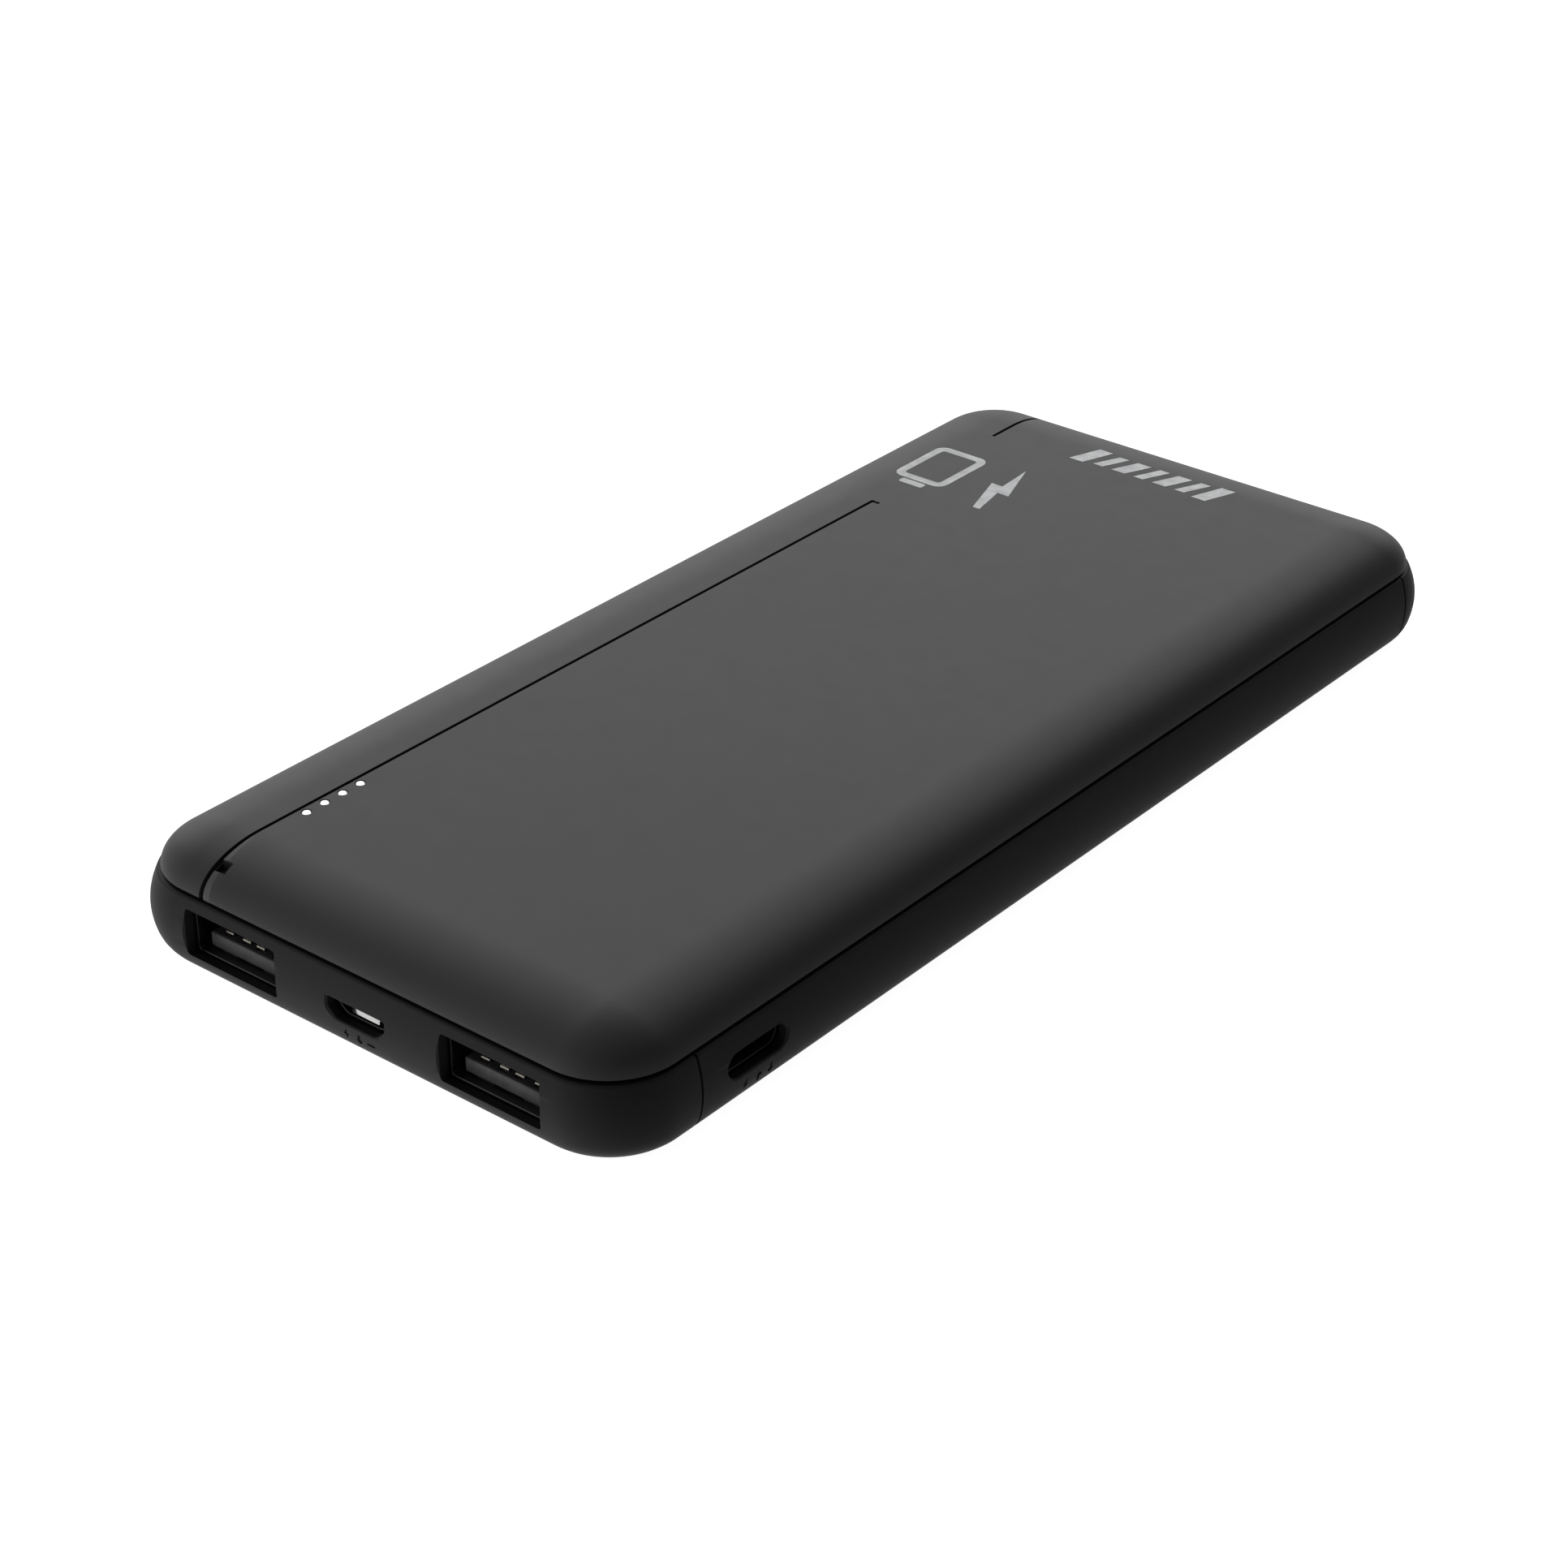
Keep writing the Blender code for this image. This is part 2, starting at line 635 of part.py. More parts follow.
def make_usb_c():
    wall = 0.0003
    rear_x = USB_C_MOUTH_X - USB_C_DEPTH
    place = ((USB_C_MOUTH_X + rear_x) / 2, USB_C_Y, USB_C_Z)
    shell = slug("usb_c_shell", USB_C_SHELL, USB_C_DEPTH, USB_C_SHELL[1] * 0.49, place, "X", SOCKET_STEEL)
    inner = [side - 2 * wall for side in USB_C_SHELL]
    pocket_low = rear_x + wall
    pocket_high = USB_C_MOUTH_X + GAP
    pocket = slug(
        "usb_c_shell_pocket",
        inner,
        pocket_high - pocket_low,
        inner[1] * 0.49,
        ((pocket_high + pocket_low) / 2, USB_C_Y, USB_C_Z),
        "X",
    )
    combine(shell, pocket)
    base = [side - 2 * SNUG for side in inner]
    base_low = pocket_low + SNUG
    base_high = base_low + 0.0018
    insert = slug(
        "usb_c_insert",
        base,
        base_high - base_low,
        base[1] * 0.49,
        ((base_low + base_high) / 2, USB_C_Y, USB_C_Z),
        "X",
        SOCKET_PLASTIC,
    )
    tongue = block(
        "usb_c_tongue",
        (base_high - 0.0005, USB_C_Y - 0.00335, USB_C_Z - 0.00035),
        (USB_C_MOUTH_X - 0.0006, USB_C_Y + 0.00335, USB_C_Z + 0.00035),
    )
    combine(insert, tongue, "UNION")


# ---------------------------------------------------------------- board and what is on it
def make_board():
    made = block("main_board", BOARD_LOW, BOARD_HIGH, BOARD_GREEN)
    room = loft("board_room", [plan_ring(-WALL - 2 * GAP, 0.0), plan_ring(-WALL - 2 * GAP, TOP_Z)])
    combine(made, room, "INTERSECT")
    for side, word in ((-1, "left"), (1, "right")):
        half = USB_A_INNER[0] / 2 + SHEET + GAP
        cut_out = block(
            f"board_cut_{word}",
            (side * USB_A_X - half, BOARD_LOW.y - GAP, BOARD_LOW.z - GAP),
            (side * USB_A_X + half, USB_A_MOUTH_Y + USB_A_DEPTH + GAP, BOARD_HIGH.z + GAP),
        )
        combine(made, cut_out)
    for number, place in enumerate(SCREW_PLACES, 1):
        hole = cylinder(f"board_hole_{number}", place, BOARD_HOLE_R, BOARD_LOW.z - GAP, BOARD_HIGH.z + GAP, sides=12)
        combine(made, hole)
    return made


def make_board_screw(number, place):
    """A turned screw: a domed head and a plain shank, with a cross recess in the head."""
    head_r, shank_r = 0.0015, 0.0006
    seat, head_top, tip = BOARD_HIGH.z + GAP, BOARD_HIGH.z + GAP + 0.0010, FLOOR + 0.0012
    profile = [
        (0.0, head_top),
        (head_r * 0.6, head_top - 0.0001),
        (head_r, head_top - 0.0005),
        (head_r, seat),
        (shank_r, seat),
        (shank_r, tip + 0.0006),
        (0.0, tip),
    ]
    bm = bmesh.new()
    verts = [bm.verts.new((x, 0.0, z)) for x, z in profile]
    for start, end in zip(verts, verts[1:]):
        bm.edges.new((start, end))
    name = f"board_screw_{number}"
    made = add_object(name, mesh_of(bm, name), SCREW_STEEL, (*place, 0.0))
    turned = made.modifiers.new("turned", "SCREW")
    turned.angle = math.tau
    turned.steps = 16
    turned.render_steps = 16
    turned.use_merge_vertices = True
    turned.merge_threshold = 0.00001
    for arm, (half_x, half_y) in enumerate(((0.0009, 0.00015), (0.00015, 0.0009)), 1):
        low = (place[0] - half_x, place[1] - half_y, head_top - 0.0005)
        high = (place[0] + half_x, place[1] + half_y, head_top + 0.0005)
        combine(made, block(f"screw_recess_{number}_{arm}", low, high))


def below_board(name, centre, size, surface, edge):
    """A component hanging under the board."""
    top = BOARD_LOW.z - GAP
    low = (centre[0] - size[0] / 2, centre[1] - size[1] / 2, top - size[2])
    high = (centre[0] + size[0] / 2, centre[1] + size[1] / 2, top)
    return block(name, low, high, surface, edge=edge, steps=2)


def make_components():
    below_board("power_controller", (-0.0060, -0.0525), (0.0050, 0.0050, 0.0009), CHIP_BLACK, 0.0001)
    below_board("power_inductor", (0.0052, -0.0525), (0.0073, 0.0070, 0.0030), INDUCTOR_GREY, 0.0008)
    below_board("transistor_front", (-0.0145, -0.0570), (0.0050, 0.0060, 0.0010), CHIP_BLACK, 0.0001)
    below_board("transistor_rear", (-0.0145, -0.0495), (0.0050, 0.0060, 0.0010), CHIP_BLACK, 0.0001)
    below_board("capacitor_front", (0.0155, -0.0570), (0.0073, 0.0043, 0.0028), CAPACITOR_OCHRE, 0.0003)
    below_board("capacitor_rear", (0.0155, -0.0505), (0.0073, 0.0043, 0.0028), CAPACITOR_OCHRE, 0.0003)


def make_lights():
    led_top = BOARD_HIGH.z + GAP + 0.0006
    for number, y in enumerate(light_places(), 1):
        low = (LIGHT_X - 0.0008, y - 0.0004, BOARD_HIGH.z + GAP)
        high = (LIGHT_X + 0.0008, y + 0.0004, led_top)
        block(f"charge_led_{number}", low, high, LED_WHITE, edge=0.0001)

    bar_low, bar_high, bar_half, overhang = led_top + 0.0012, led_top + 0.0022, 0.0006, 0.0009
    guide = block(
        "light_guide",
        (LIGHT_X - bar_half, LIGHT_FIRST_Y - overhang, bar_low),
        (LIGHT_X + bar_half, light_places()[-1] + overhang, bar_high),
        CLEAR_GUIDE,
        edge=0.0002,
    )
    for number, y in enumerate(light_places(), 1):
        rod = cylinder(f"guide_rod_{number}", (LIGHT_X, y), LIGHT_R, led_top + GAP, TOP_Z - SNUG / 2, sides=12)
        combine(guide, rod, "UNION")


# ---------------------------------------------------------------- button and switch
def make_power_button():
    """Slides along X. Its flange stops it behind the wall, and its stem faces the switch's plunger."""
    flange_low = -INNER_W + GAP
    flange_high = flange_low + 0.0006
    root_x = flange_high - 0.0001
    middle_x = (BUTTON_FACE_X + root_x) / 2
    made = slug(
        "power_button",
        BUTTON_SIZE,
        root_x - BUTTON_FACE_X,
        BUTTON_SIZE[1] * 0.49,
        (middle_x, BUTTON_Y, BUTTON_Z),
        "X",
        SIDE_BLACK,
        steps=6,
    )
    rounding = made.modifiers.new("face_edge", "BEVEL")
    rounding.width = 0.0002
    rounding.segments = 2
    rounding.limit_method = "ANGLE"
    rounding.angle_limit = math.radians(60)
    flange = block(
        "button_flange",
        (flange_low, BUTTON_Y - 0.0052, BUTTON_Z - 0.0021),
        (flange_high, BUTTON_Y + 0.0052, BUTTON_Z + 0.0021),
    )
    combine(made, flange, "UNION")
    stem = block(
        "button_stem",
        (flange_high - 0.0001, BUTTON_Y - 0.0012, BUTTON_Z - 0.0008),
        (PLUNGER_TIP_X - GAP, BUTTON_Y + 0.0012, BUTTON_Z + 0.0008),
    )
    combine(made, stem, "UNION")


def make_tact_switch():
    front_x, rear_x = BOARD_LOW.x, BOARD_LOW.x + 0.0032
    half_y, low_z, high_z = 0.00225, 0.0035, BOARD_LOW.z - GAP
    body = block(
        "tact_switch_body",
        (front_x, BUTTON_Y - half_y, low_z),
        (rear_x, BUTTON_Y + half_y, high_z),
        SWITCH_GREY,
        edge=0.0001,
    )
    plunger_end = front_x + 0.0009
    plunger_low = Vector((PLUNGER_TIP_X, BUTTON_Y - 0.0009, BUTTON_Z - 0.0006))
    plunger_high = Vector((plunger_end, BUTTON_Y + 0.0009, BUTTON_Z + 0.0006))
    block("tact_switch_plunger", plunger_low, plunger_high, CHIP_BLACK, edge=0.0001)
    clear = Vector((0.0, 2 * SNUG, 2 * SNUG))
    bore = block("switch_bore", plunger_low - clear, plunger_high + clear + Vector((0.0008, 0.0, 0.0)))
    combine(body, bore)


# ---------------------------------------------------------------- cells
def make_cells():
    half = CELL_SIZE / 2
    for word, z in (("lower", LOWER_CELL_Z), ("upper", UPPER_CELL_Z)):
        centre = Vector((0.0, CELL_Y, z))
        block(f"battery_cell_{word}", centre - half, centre + half, POUCH_FOIL, edge=0.0012, steps=2)

    tape_half_x, tape_half_y = 0.0200, 0.0450
    layers = (
        ("cell_floor_tape", FLOOR + SNUG / 2, LOWER_CELL_Z - half.z - SNUG, TAPE_WHITE),
        ("cell_bond_tape", LOWER_CELL_Z + half.z + SNUG, UPPER_CELL_Z - half.z - SNUG, TAPE_WHITE),
        ("cell_foam_pad", UPPER_CELL_Z + half.z + SNUG, ROOF_Z - SNUG, FOAM_BLACK),
    )
    for name, low_z, high_z, surface in layers:
        low = (-tape_half_x, CELL_Y - tape_half_y, low_z)
        high = (tape_half_x, CELL_Y + tape_half_y, high_z)
        block(name, low, high, surface)


def make_protection_board():
    cell_front = CELL_Y - CELL_SIZE.y / 2
    rear_y = cell_front - 0.0007
    board_low, board_high = 0.0064, 0.0072
    block("protection_board", (-0.0160, rear_y - 0.0030, board_low), (0.0160, rear_y, board_high), BOARD_GREEN)
    for word, x in (("positive", -0.0080), ("negative", 0.0080)):
        strip_y = cell_front - 0.00035
        low = (x - 0.0020, strip_y - SNUG, board_low - 0.0012)
        high = (x + 0.0020, strip_y + SNUG, board_high + 0.0012)
        block(f"nickel_tab_{word}", low, high, NICKEL)

    lead_r = 0.00065
    path = ((-0.0430, 0.00795), (-0.0444, 0.0086), (-0.0456, 0.0093), (-0.0470, 0.0095), (-0.0485, 0.0093), (-0.0500, 0.00915))
    for word, x, surface in (("red", -0.0040, LEAD_RED), ("black", 0.0040, LEAD_BLACK)):
        tube(f"battery_lead_{word}", [(x, y, z) for y, z in path], lead_r, surface)


make_top_cover()
make_bottom_cover()
make_front_end_cap()
make_rear_end_cap()
make_usb_a("left", -USB_A_X)
make_usb_a("right", USB_A_X)
make_micro_usb()
make_usb_c()
make_board()
for screw_number, screw_place in enumerate(SCREW_PLACES, 1):
    make_board_screw(screw_number, screw_place)
make_components()
make_lights()
make_power_button()
make_tact_switch()
make_cells()
make_protection_board()
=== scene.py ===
"""Looks of the slim power bank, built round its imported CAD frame. Metres, +Z up, the port end at -Y."""

import math

import bmesh
import bpy
from mathutils import Matrix, Vector


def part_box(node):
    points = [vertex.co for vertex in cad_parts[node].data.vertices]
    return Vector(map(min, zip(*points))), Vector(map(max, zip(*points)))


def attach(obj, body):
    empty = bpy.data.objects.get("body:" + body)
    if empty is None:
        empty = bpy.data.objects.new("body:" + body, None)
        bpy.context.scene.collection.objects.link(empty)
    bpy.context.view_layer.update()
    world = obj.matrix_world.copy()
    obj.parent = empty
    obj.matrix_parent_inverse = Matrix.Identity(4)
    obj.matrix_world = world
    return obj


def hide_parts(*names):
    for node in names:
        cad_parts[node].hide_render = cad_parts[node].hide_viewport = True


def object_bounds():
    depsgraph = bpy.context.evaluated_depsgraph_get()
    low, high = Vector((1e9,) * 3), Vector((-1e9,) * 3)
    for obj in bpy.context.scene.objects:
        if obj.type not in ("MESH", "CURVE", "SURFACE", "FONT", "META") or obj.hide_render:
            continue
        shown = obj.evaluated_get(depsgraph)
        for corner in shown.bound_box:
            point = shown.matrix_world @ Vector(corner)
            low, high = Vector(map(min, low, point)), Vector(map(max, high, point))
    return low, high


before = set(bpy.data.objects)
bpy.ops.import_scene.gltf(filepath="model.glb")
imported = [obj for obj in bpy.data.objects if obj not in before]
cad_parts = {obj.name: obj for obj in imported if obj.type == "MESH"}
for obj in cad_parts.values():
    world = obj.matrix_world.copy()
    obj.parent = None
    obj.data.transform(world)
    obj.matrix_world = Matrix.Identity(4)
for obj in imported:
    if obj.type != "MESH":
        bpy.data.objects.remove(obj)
CAD_BOX = [list(corner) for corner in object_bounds()]

# ---------------------------------------------------------------- sizes, from the frame where it has them
TOP_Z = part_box("top_cover")[1].z
HALF_W, HALF_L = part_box("top_cover")[1].xy  # at the parting line
CROWN_RISE = 0.0042
CROWN_RUN = 0.0085
PARTING_Z = TOP_Z - CROWN_RISE
PARTING_GAP = 0.00035
CORNER = 0.0082
CORNER_LEAST = 0.0006
BULGE = 0.0010
BULGE_Z = 0.0052
BULGE_REACH = 0.0047
FOOT_Z = 0.0026
FOOT_INSET = 0.0030
LIP = 0.00030  # height of the rounding at the top of the lower case's wall
LIP_BASE = 0.00025  # how far below the CAD's rim that rounding starts
WALL = 0.0016
FLOOR = 0.0015
ROOF = 0.0015
GAP = 0.0003
SHY = 0.00001  # how far a finer surface stays inside the CAD's facets
PRINT = 0.00003  # room left over the top for what is printed on it
FLAT_STRIP = 0.0006  # width of the first flat strip past a curved edge, so that the edge shades cleanly
PROUD = 0.001  # how far a cutter stands out of what it cuts
ROOT = 0.001  # how far a tongue runs into its block
FAR = 1.0  # beyond the case on any side

SEAM = GAP
FRONT_SEAM_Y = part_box("bottom_cover")[0].y - SEAM / 2
REAR_SEAM_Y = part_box("bottom_cover")[1].y + SEAM / 2

GROOVE_X = -0.0225
GROOVE_WIDTH = 0.00045
GROOVE_DEPTH = 0.00055
GROOVE_END_Y = 0.0363
GROOVE_RESTART_Y = 0.0608
HOOK_LENGTH = 0.0011
FACET_WIDTH = 0.0013
FACET_DEPTH = 0.00016
FACET_FADE = 0.7  # how its depth falls off up the crown's edge
FACET_TAIL = 0.0004  # how far its cutter runs on over the flat top
NOTCH_LOW = (-0.02241, -0.07163, 0.01162)
NOTCH_HIGH = (-0.0208, -0.0703, 0.0150)

PILL = 0.49  # corner radius of a pill-shaped outline, as a share of its height
FIT = 0.0001  # room between a socket's shell and its insert
SHELL_ROOM = 0.0007  # how much larger the pocket round a shell is
POCKET_DEPTH = 0.0004  # how far a pocket runs past the case's wall

PORT_Z = 0.00545
USB_A_X = 0.0178
USB_A_OPENING = (0.0130, 0.0054)
USB_A_ROUND, USB_A_ROOM_ROUND = 0.0004, 0.0006
USB_A_SHELL, USB_A_SHELL_ROUND = (0.0131, 0.00572), 0.0005
USB_A_INNER, USB_A_INNER_ROUND = (0.0125, 0.00512), 0.0003
USB_A_MOUTH_Y, USB_A_REAR_Y = (corner.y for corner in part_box("usb_a_left_shell"))
USB_A_SHEET = (USB_A_SHELL[0] - USB_A_INNER[0]) / 2
USB_A_BLOCK_Y = USB_A_REAR_Y - USB_A_SHEET - 0.0026  # the front of the insert's block
USB_A_PITCHES = (-0.0035, -0.0010, 0.0010, 0.0035)
TONGUE_LOW, TONGUE_HIGH = 0.00305, 0.00475
TONGUE_HALF = 0.00555
TONGUE_Y = -0.0720
MICRO_Z = 0.00515
MICRO_OPENING = (0.0078, 0.0023)
MICRO_CUT = (0.0012, 0.0011)
MICRO_SHEET = 0.00025
MICRO_TONGUE_HALF, MICRO_TONGUE_THICK = 0.0019, 0.0007
MICRO_CORE_INSET = 0.00006  # from the metal plate's faces to the plastic core
MICRO_MOUTH_Y, MICRO_REAR_Y = (corner.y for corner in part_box("micro_usb_shell"))
MICRO_TONGUE_Y = MICRO_MOUTH_Y + 0.0001
USB_C_Y = -0.0545
USB_C_Z = 0.0056
USB_C_OPENING = (0.0088, 0.00285)
USB_C_SHELL = (0.00894, 0.00316)
USB_C_SHEET = 0.0003
USB_C_INNER = [size - 2 * USB_C_SHEET for size in USB_C_SHELL]
USB_C_REAR_X, USB_C_MOUTH_X = (corner.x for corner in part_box("usb_c_shell"))
BUTTON_Y = -0.0550
BUTTON_Z = 0.0050
BUTTON_SIZE = (0.0090, 0.0030)
BUTTON_FACE_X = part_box("power_button")[0].x

LIP_OUT = WALL + GAP
LIP_IN = LIP_OUT + 0.0010
LIP_Z = PARTING_Z - 0.0009
LIGHT_R = 0.00043
LIGHT_HOLE_R = 0.00050
GUIDE_BAR_Z = (0.0105, 0.0115)
LIGHTS = ["charge_led_1", "charge_led_2", "charge_led_3", "charge_led_4"]

# Each corner's sides in X and Y and the angle where its arc starts, in order round an outline.
CORNERS = [(1, -1, -90), (1, 1, 0), (-1, 1, 90), (-1, -1, 180)]
ARC_STEPS = 20
SHORT_STEPS, LONG_STEPS = 10, 16
CROWN_STEPS = 20
PATH_STEPS = 17  # not a match for the crown's steps, so that cuts along it don't run through its corners
WALL_STEPS = 16
FOOT_STEPS = 8
LIP_STEPS = 5
ROOF_STEPS = 8
ROUND_STEPS = 6
MOUTH_STEPS = 4
CIRCLE_STEPS = 32


# ---------------------------------------------------------------- materials
def new_material(name, colour, roughness, metallic=0.0, specular=0.5):
    made = bpy.data.materials.new(name)
    made.use_nodes = True
    shader = made.node_tree.nodes["Principled BSDF"]
    shader.inputs["Base Color"].default_value = (*colour, 1.0)
    shader.inputs["Roughness"].default_value = roughness
    shader.inputs["Metallic"].default_value = metallic
    shader.inputs["Specular IOR Level"].default_value = specular
    return made, made.node_tree, shader


def noise(tree, scale, detail=3.0, stretch=None):
    """A cloudy 0 to 1 value in object space. stretch makes it longer along some axes."""
    made = tree.nodes.new("ShaderNodeTexNoise")
    made.inputs["Scale"].default_value = scale
    made.inputs["Detail"].default_value = detail
    place = tree.nodes.new("ShaderNodeTexCoord").outputs["Object"]
    if stretch is not None:
        mapping = tree.nodes.new("ShaderNodeMapping")
        mapping.inputs["Scale"].default_value = stretch
        tree.links.new(place, mapping.inputs["Vector"])
        place = mapping.outputs["Vector"]
    tree.links.new(place, made.inputs["Vector"])
    return made.outputs["Fac"]


def ranged(tree, value, low, high, start=0.3, end=0.7):
    """A value between start and end, as low to high."""
    made = tree.nodes.new("ShaderNodeMapRange")
    made.inputs["From Min"].default_value = start
    made.inputs["From Max"].default_value = end
    made.inputs["To Min"].default_value = low
    made.inputs["To Max"].default_value = high
    tree.links.new(value, made.inputs["Value"])
    return made.outputs["Result"]


def mixed(tree, factor, low, high):
    """A colour between low and high by a 0 to 1 factor. low may be another node's output."""
    made = tree.nodes.new("ShaderNodeMix")
    made.data_type = "RGBA"
    made.inputs[7].default_value = (*high, 1.0)
    if isinstance(low, tuple):
        made.inputs[6].default_value = (*low, 1.0)
    else:
        tree.links.new(low, made.inputs[6])
    tree.links.new(factor, made.inputs[0])
    return made.outputs[2]


def bumped(tree, shader, height, distance):
    made = tree.nodes.new("ShaderNodeBump")
    made.inputs["Distance"].default_value = distance
    tree.links.new(height, made.inputs["Height"])
    tree.links.new(made.outputs["Normal"], shader.inputs["Normal"])


def edge_wear(tree):
    """1 on sharp outer edges and 0 elsewhere, broken up as rubbing leaves it."""
    pointed = tree.nodes.new("ShaderNodeNewGeometry").outputs["Pointiness"]
    worn = ranged(tree, pointed, 0.0, 1.0, start=0.53, end=0.60)
    broken = tree.nodes.new("ShaderNodeMath")
    broken.operation = "MULTIPLY"
    tree.links.new(worn, broken.inputs[0])
    tree.links.new(ranged(tree, noise(tree, 900.0), 0.2, 1.0), broken.inputs[1])
    return broken.outputs[0]


def tinted(colour, amount):
    return tuple(channel * amount for channel in colour)


def plastic(name, colour, roughness, specular=0.5, grain=6000.0, depth=0.0000015, drift=0.05):
    """Moulded plastic: a fine spark grain, a faint drift in tone and sheen, and rubbed outer edges."""
    made, tree, shader = new_material(name, colour, roughness, specular=specular)
    cloud = ranged(tree, noise(tree, 55.0), 0.0, 1.0)
    tone = mixed(tree, cloud, tinted(colour, 1 - drift), tinted(colour, 1 + drift))
    wear = edge_wear(tree)
    tree.links.new(mixed(tree, wear, tone, tinted(colour, 1.5)), shader.inputs["Base Color"])
    sheen = ranged(tree, noise(tree, 350.0, detail=4.0), roughness - 0.012, roughness + 0.012)
    tree.links.new(sheen, shader.inputs["Roughness"])
    bumped(tree, shader, noise(tree, grain, detail=2.0), depth)
    return made


def metal(name, colour, roughness, stretch=(1.0, 1.0, 1.0), scale=2500.0, depth=0.0000010):
    """Rolled or plated metal: fine lines along its rolling, and slightly uneven polish."""
    made, tree, shader = new_material(name, colour, roughness, metallic=1.0)
    lines = noise(tree, scale, stretch=stretch)
    tone = mixed(tree, ranged(tree, lines, 0.0, 1.0), tinted(colour, 0.86), colour)
    tree.links.new(tone, shader.inputs["Base Color"])
    polish = ranged(tree, noise(tree, 700.0), roughness - 0.06, roughness + 0.08)
    tree.links.new(polish, shader.inputs["Roughness"])
    bumped(tree, shader, lines, depth)
    return made


def woven_board(name):
    """Solder mask over glass weave, with copper tracks showing as a lighter green."""
    made, tree, shader = new_material(name, (0.008, 0.085, 0.035), 0.32)
    bricks = tree.nodes.new("ShaderNodeTexBrick")
    bricks.inputs["Scale"].default_value = 420.0
    bricks.inputs["Mortar Size"].default_value = 0.035
    bricks.inputs["Color1"].default_value = (0.010, 0.110, 0.045, 1.0)
    bricks.inputs["Color2"].default_value = (0.007, 0.085, 0.034, 1.0)
    bricks.inputs["Mortar"].default_value = (0.020, 0.170, 0.065, 1.0)
    tree.links.new(tree.nodes.new("ShaderNodeTexCoord").outputs["Object"], bricks.inputs["Vector"])
    tree.links.new(bricks.outputs["Color"], shader.inputs["Base Color"])
    tree.links.new(ranged(tree, noise(tree, 900.0), 0.26, 0.40), shader.inputs["Roughness"])
    weave = tree.nodes.new("ShaderNodeTexChecker")
    weave.inputs["Scale"].default_value = 3200.0
    tree.links.new(tree.nodes.new("ShaderNodeTexCoord").outputs["Object"], weave.inputs["Vector"])
    bumped(tree, shader, weave.outputs["Fac"], 0.000002)
    return made


def glowing(name, colour, strength):
    """Clear or milky plastic lit from behind, with a fine frost."""
    made, tree, shader = new_material(name, colour, 0.30)
    shader.inputs["Emission Color"].default_value = (*colour, 1.0)
    shader.inputs["Emission Strength"].default_value = strength
    frost = noise(tree, 4000.0)
    tone = mixed(tree, ranged(tree, frost, 0.0, 1.0), tinted(colour, 0.93), colour)
    tree.links.new(tone, shader.inputs["Base Color"])
    tree.links.new(ranged(tree, noise(tree, 1200.0), 0.25, 0.38), shader.inputs["Roughness"])
    bumped(tree, shader, frost, 0.000003)
    return made


CASE = plastic("case_black", (0.020, 0.020, 0.0205), 0.42, specular=0.5, drift=0.04)
# A lighter copy of the case plastic for the facet beside the groove: a painted highlight, for the light its
# tilted face catches.
FACET_PAINTED_HIGHLIGHT = plastic("facet_black_painted_highlight", (0.046, 0.046, 0.047), 0.38, specular=0.5, drift=0.04)
SIDE = plastic("side_black", (0.0090, 0.0090, 0.0094), 0.48, specular=0.27)
BUTTON = plastic("button_black", (0.022, 0.022, 0.023), 0.42, specular=0.35)
INK = plastic("print_grey", (0.86, 0.87, 0.88), 0.55, specular=0.2, grain=9000.0, drift=0.03)
SOCKET_STEEL = metal("socket_steel", (0.10, 0.10, 0.103), 0.42, (1.0, 12.0, 12.0))
BRIGHT_STEEL = metal("bright_steel", (0.97, 0.97, 0.96), 0.12, (1.0, 8.0, 8.0))
SOCKET_PLASTIC = plastic("socket_plastic", (0.070, 0.070, 0.072), 0.45, specular=0.5, grain=7000.0)
GOLD = metal("contact_gold", (0.97, 0.92, 0.80), 0.16, (10.0, 1.0, 10.0))
BOARD = woven_board("board_green")
CHIP = plastic("chip_black", (0.018, 0.018, 0.019), 0.55, specular=0.4, grain=9000.0, depth=0.000004)
INDUCTOR = plastic("inductor_grey", (0.12, 0.12, 0.125), 0.65, grain=5000.0, depth=0.000012, drift=0.15)
CAPACITOR = plastic("capacitor_ochre", (0.62, 0.38, 0.07), 0.42, grain=6000.0, drift=0.08)
GUIDE = glowing("clear_guide", (0.95, 0.97, 1.0), 1.2)
LED = glowing("led_white", (0.93, 0.92, 0.85), 0.3)
SWITCH = plastic("switch_grey", (0.22, 0.22, 0.23), 0.45, grain=7000.0)
FOIL = metal("pouch_foil", (0.62, 0.63, 0.64), 0.34, (1.0, 0.15, 1.0), scale=260.0, depth=0.000050)
NICKEL = metal("nickel", (0.66, 0.63, 0.58), 0.28, (1.0, 14.0, 1.0))
TAPE = plastic("tape_white", (0.80, 0.79, 0.75), 0.75, specular=0.2, grain=2600.0, depth=0.000010)
FOAM = plastic("foam_black", (0.030, 0.030, 0.031), 0.95, 0.1, grain=1800.0, depth=0.000120, drift=0.30)
LEAD_RED = plastic("lead_red", (0.55, 0.020, 0.020), 0.38, grain=7000.0)
LEAD_BLACK = plastic("lead_black", (0.018, 0.018, 0.018), 0.38, grain=7000.0)
SCREW = metal("screw_steel", (0.50, 0.50, 0.51), 0.30, (12.0, 12.0, 1.0))


# ---------------------------------------------------------------- mesh helpers
def add_piece(name, bm, surface=None):
    mesh = bpy.data.meshes.new(name)
    bm.to_mesh(mesh)
    bm.free()
    made = bpy.data.objects.new(name, mesh)
    bpy.context.scene.collection.objects.link(made)
    if surface is not None:
        mesh.materials.append(surface)
    return made


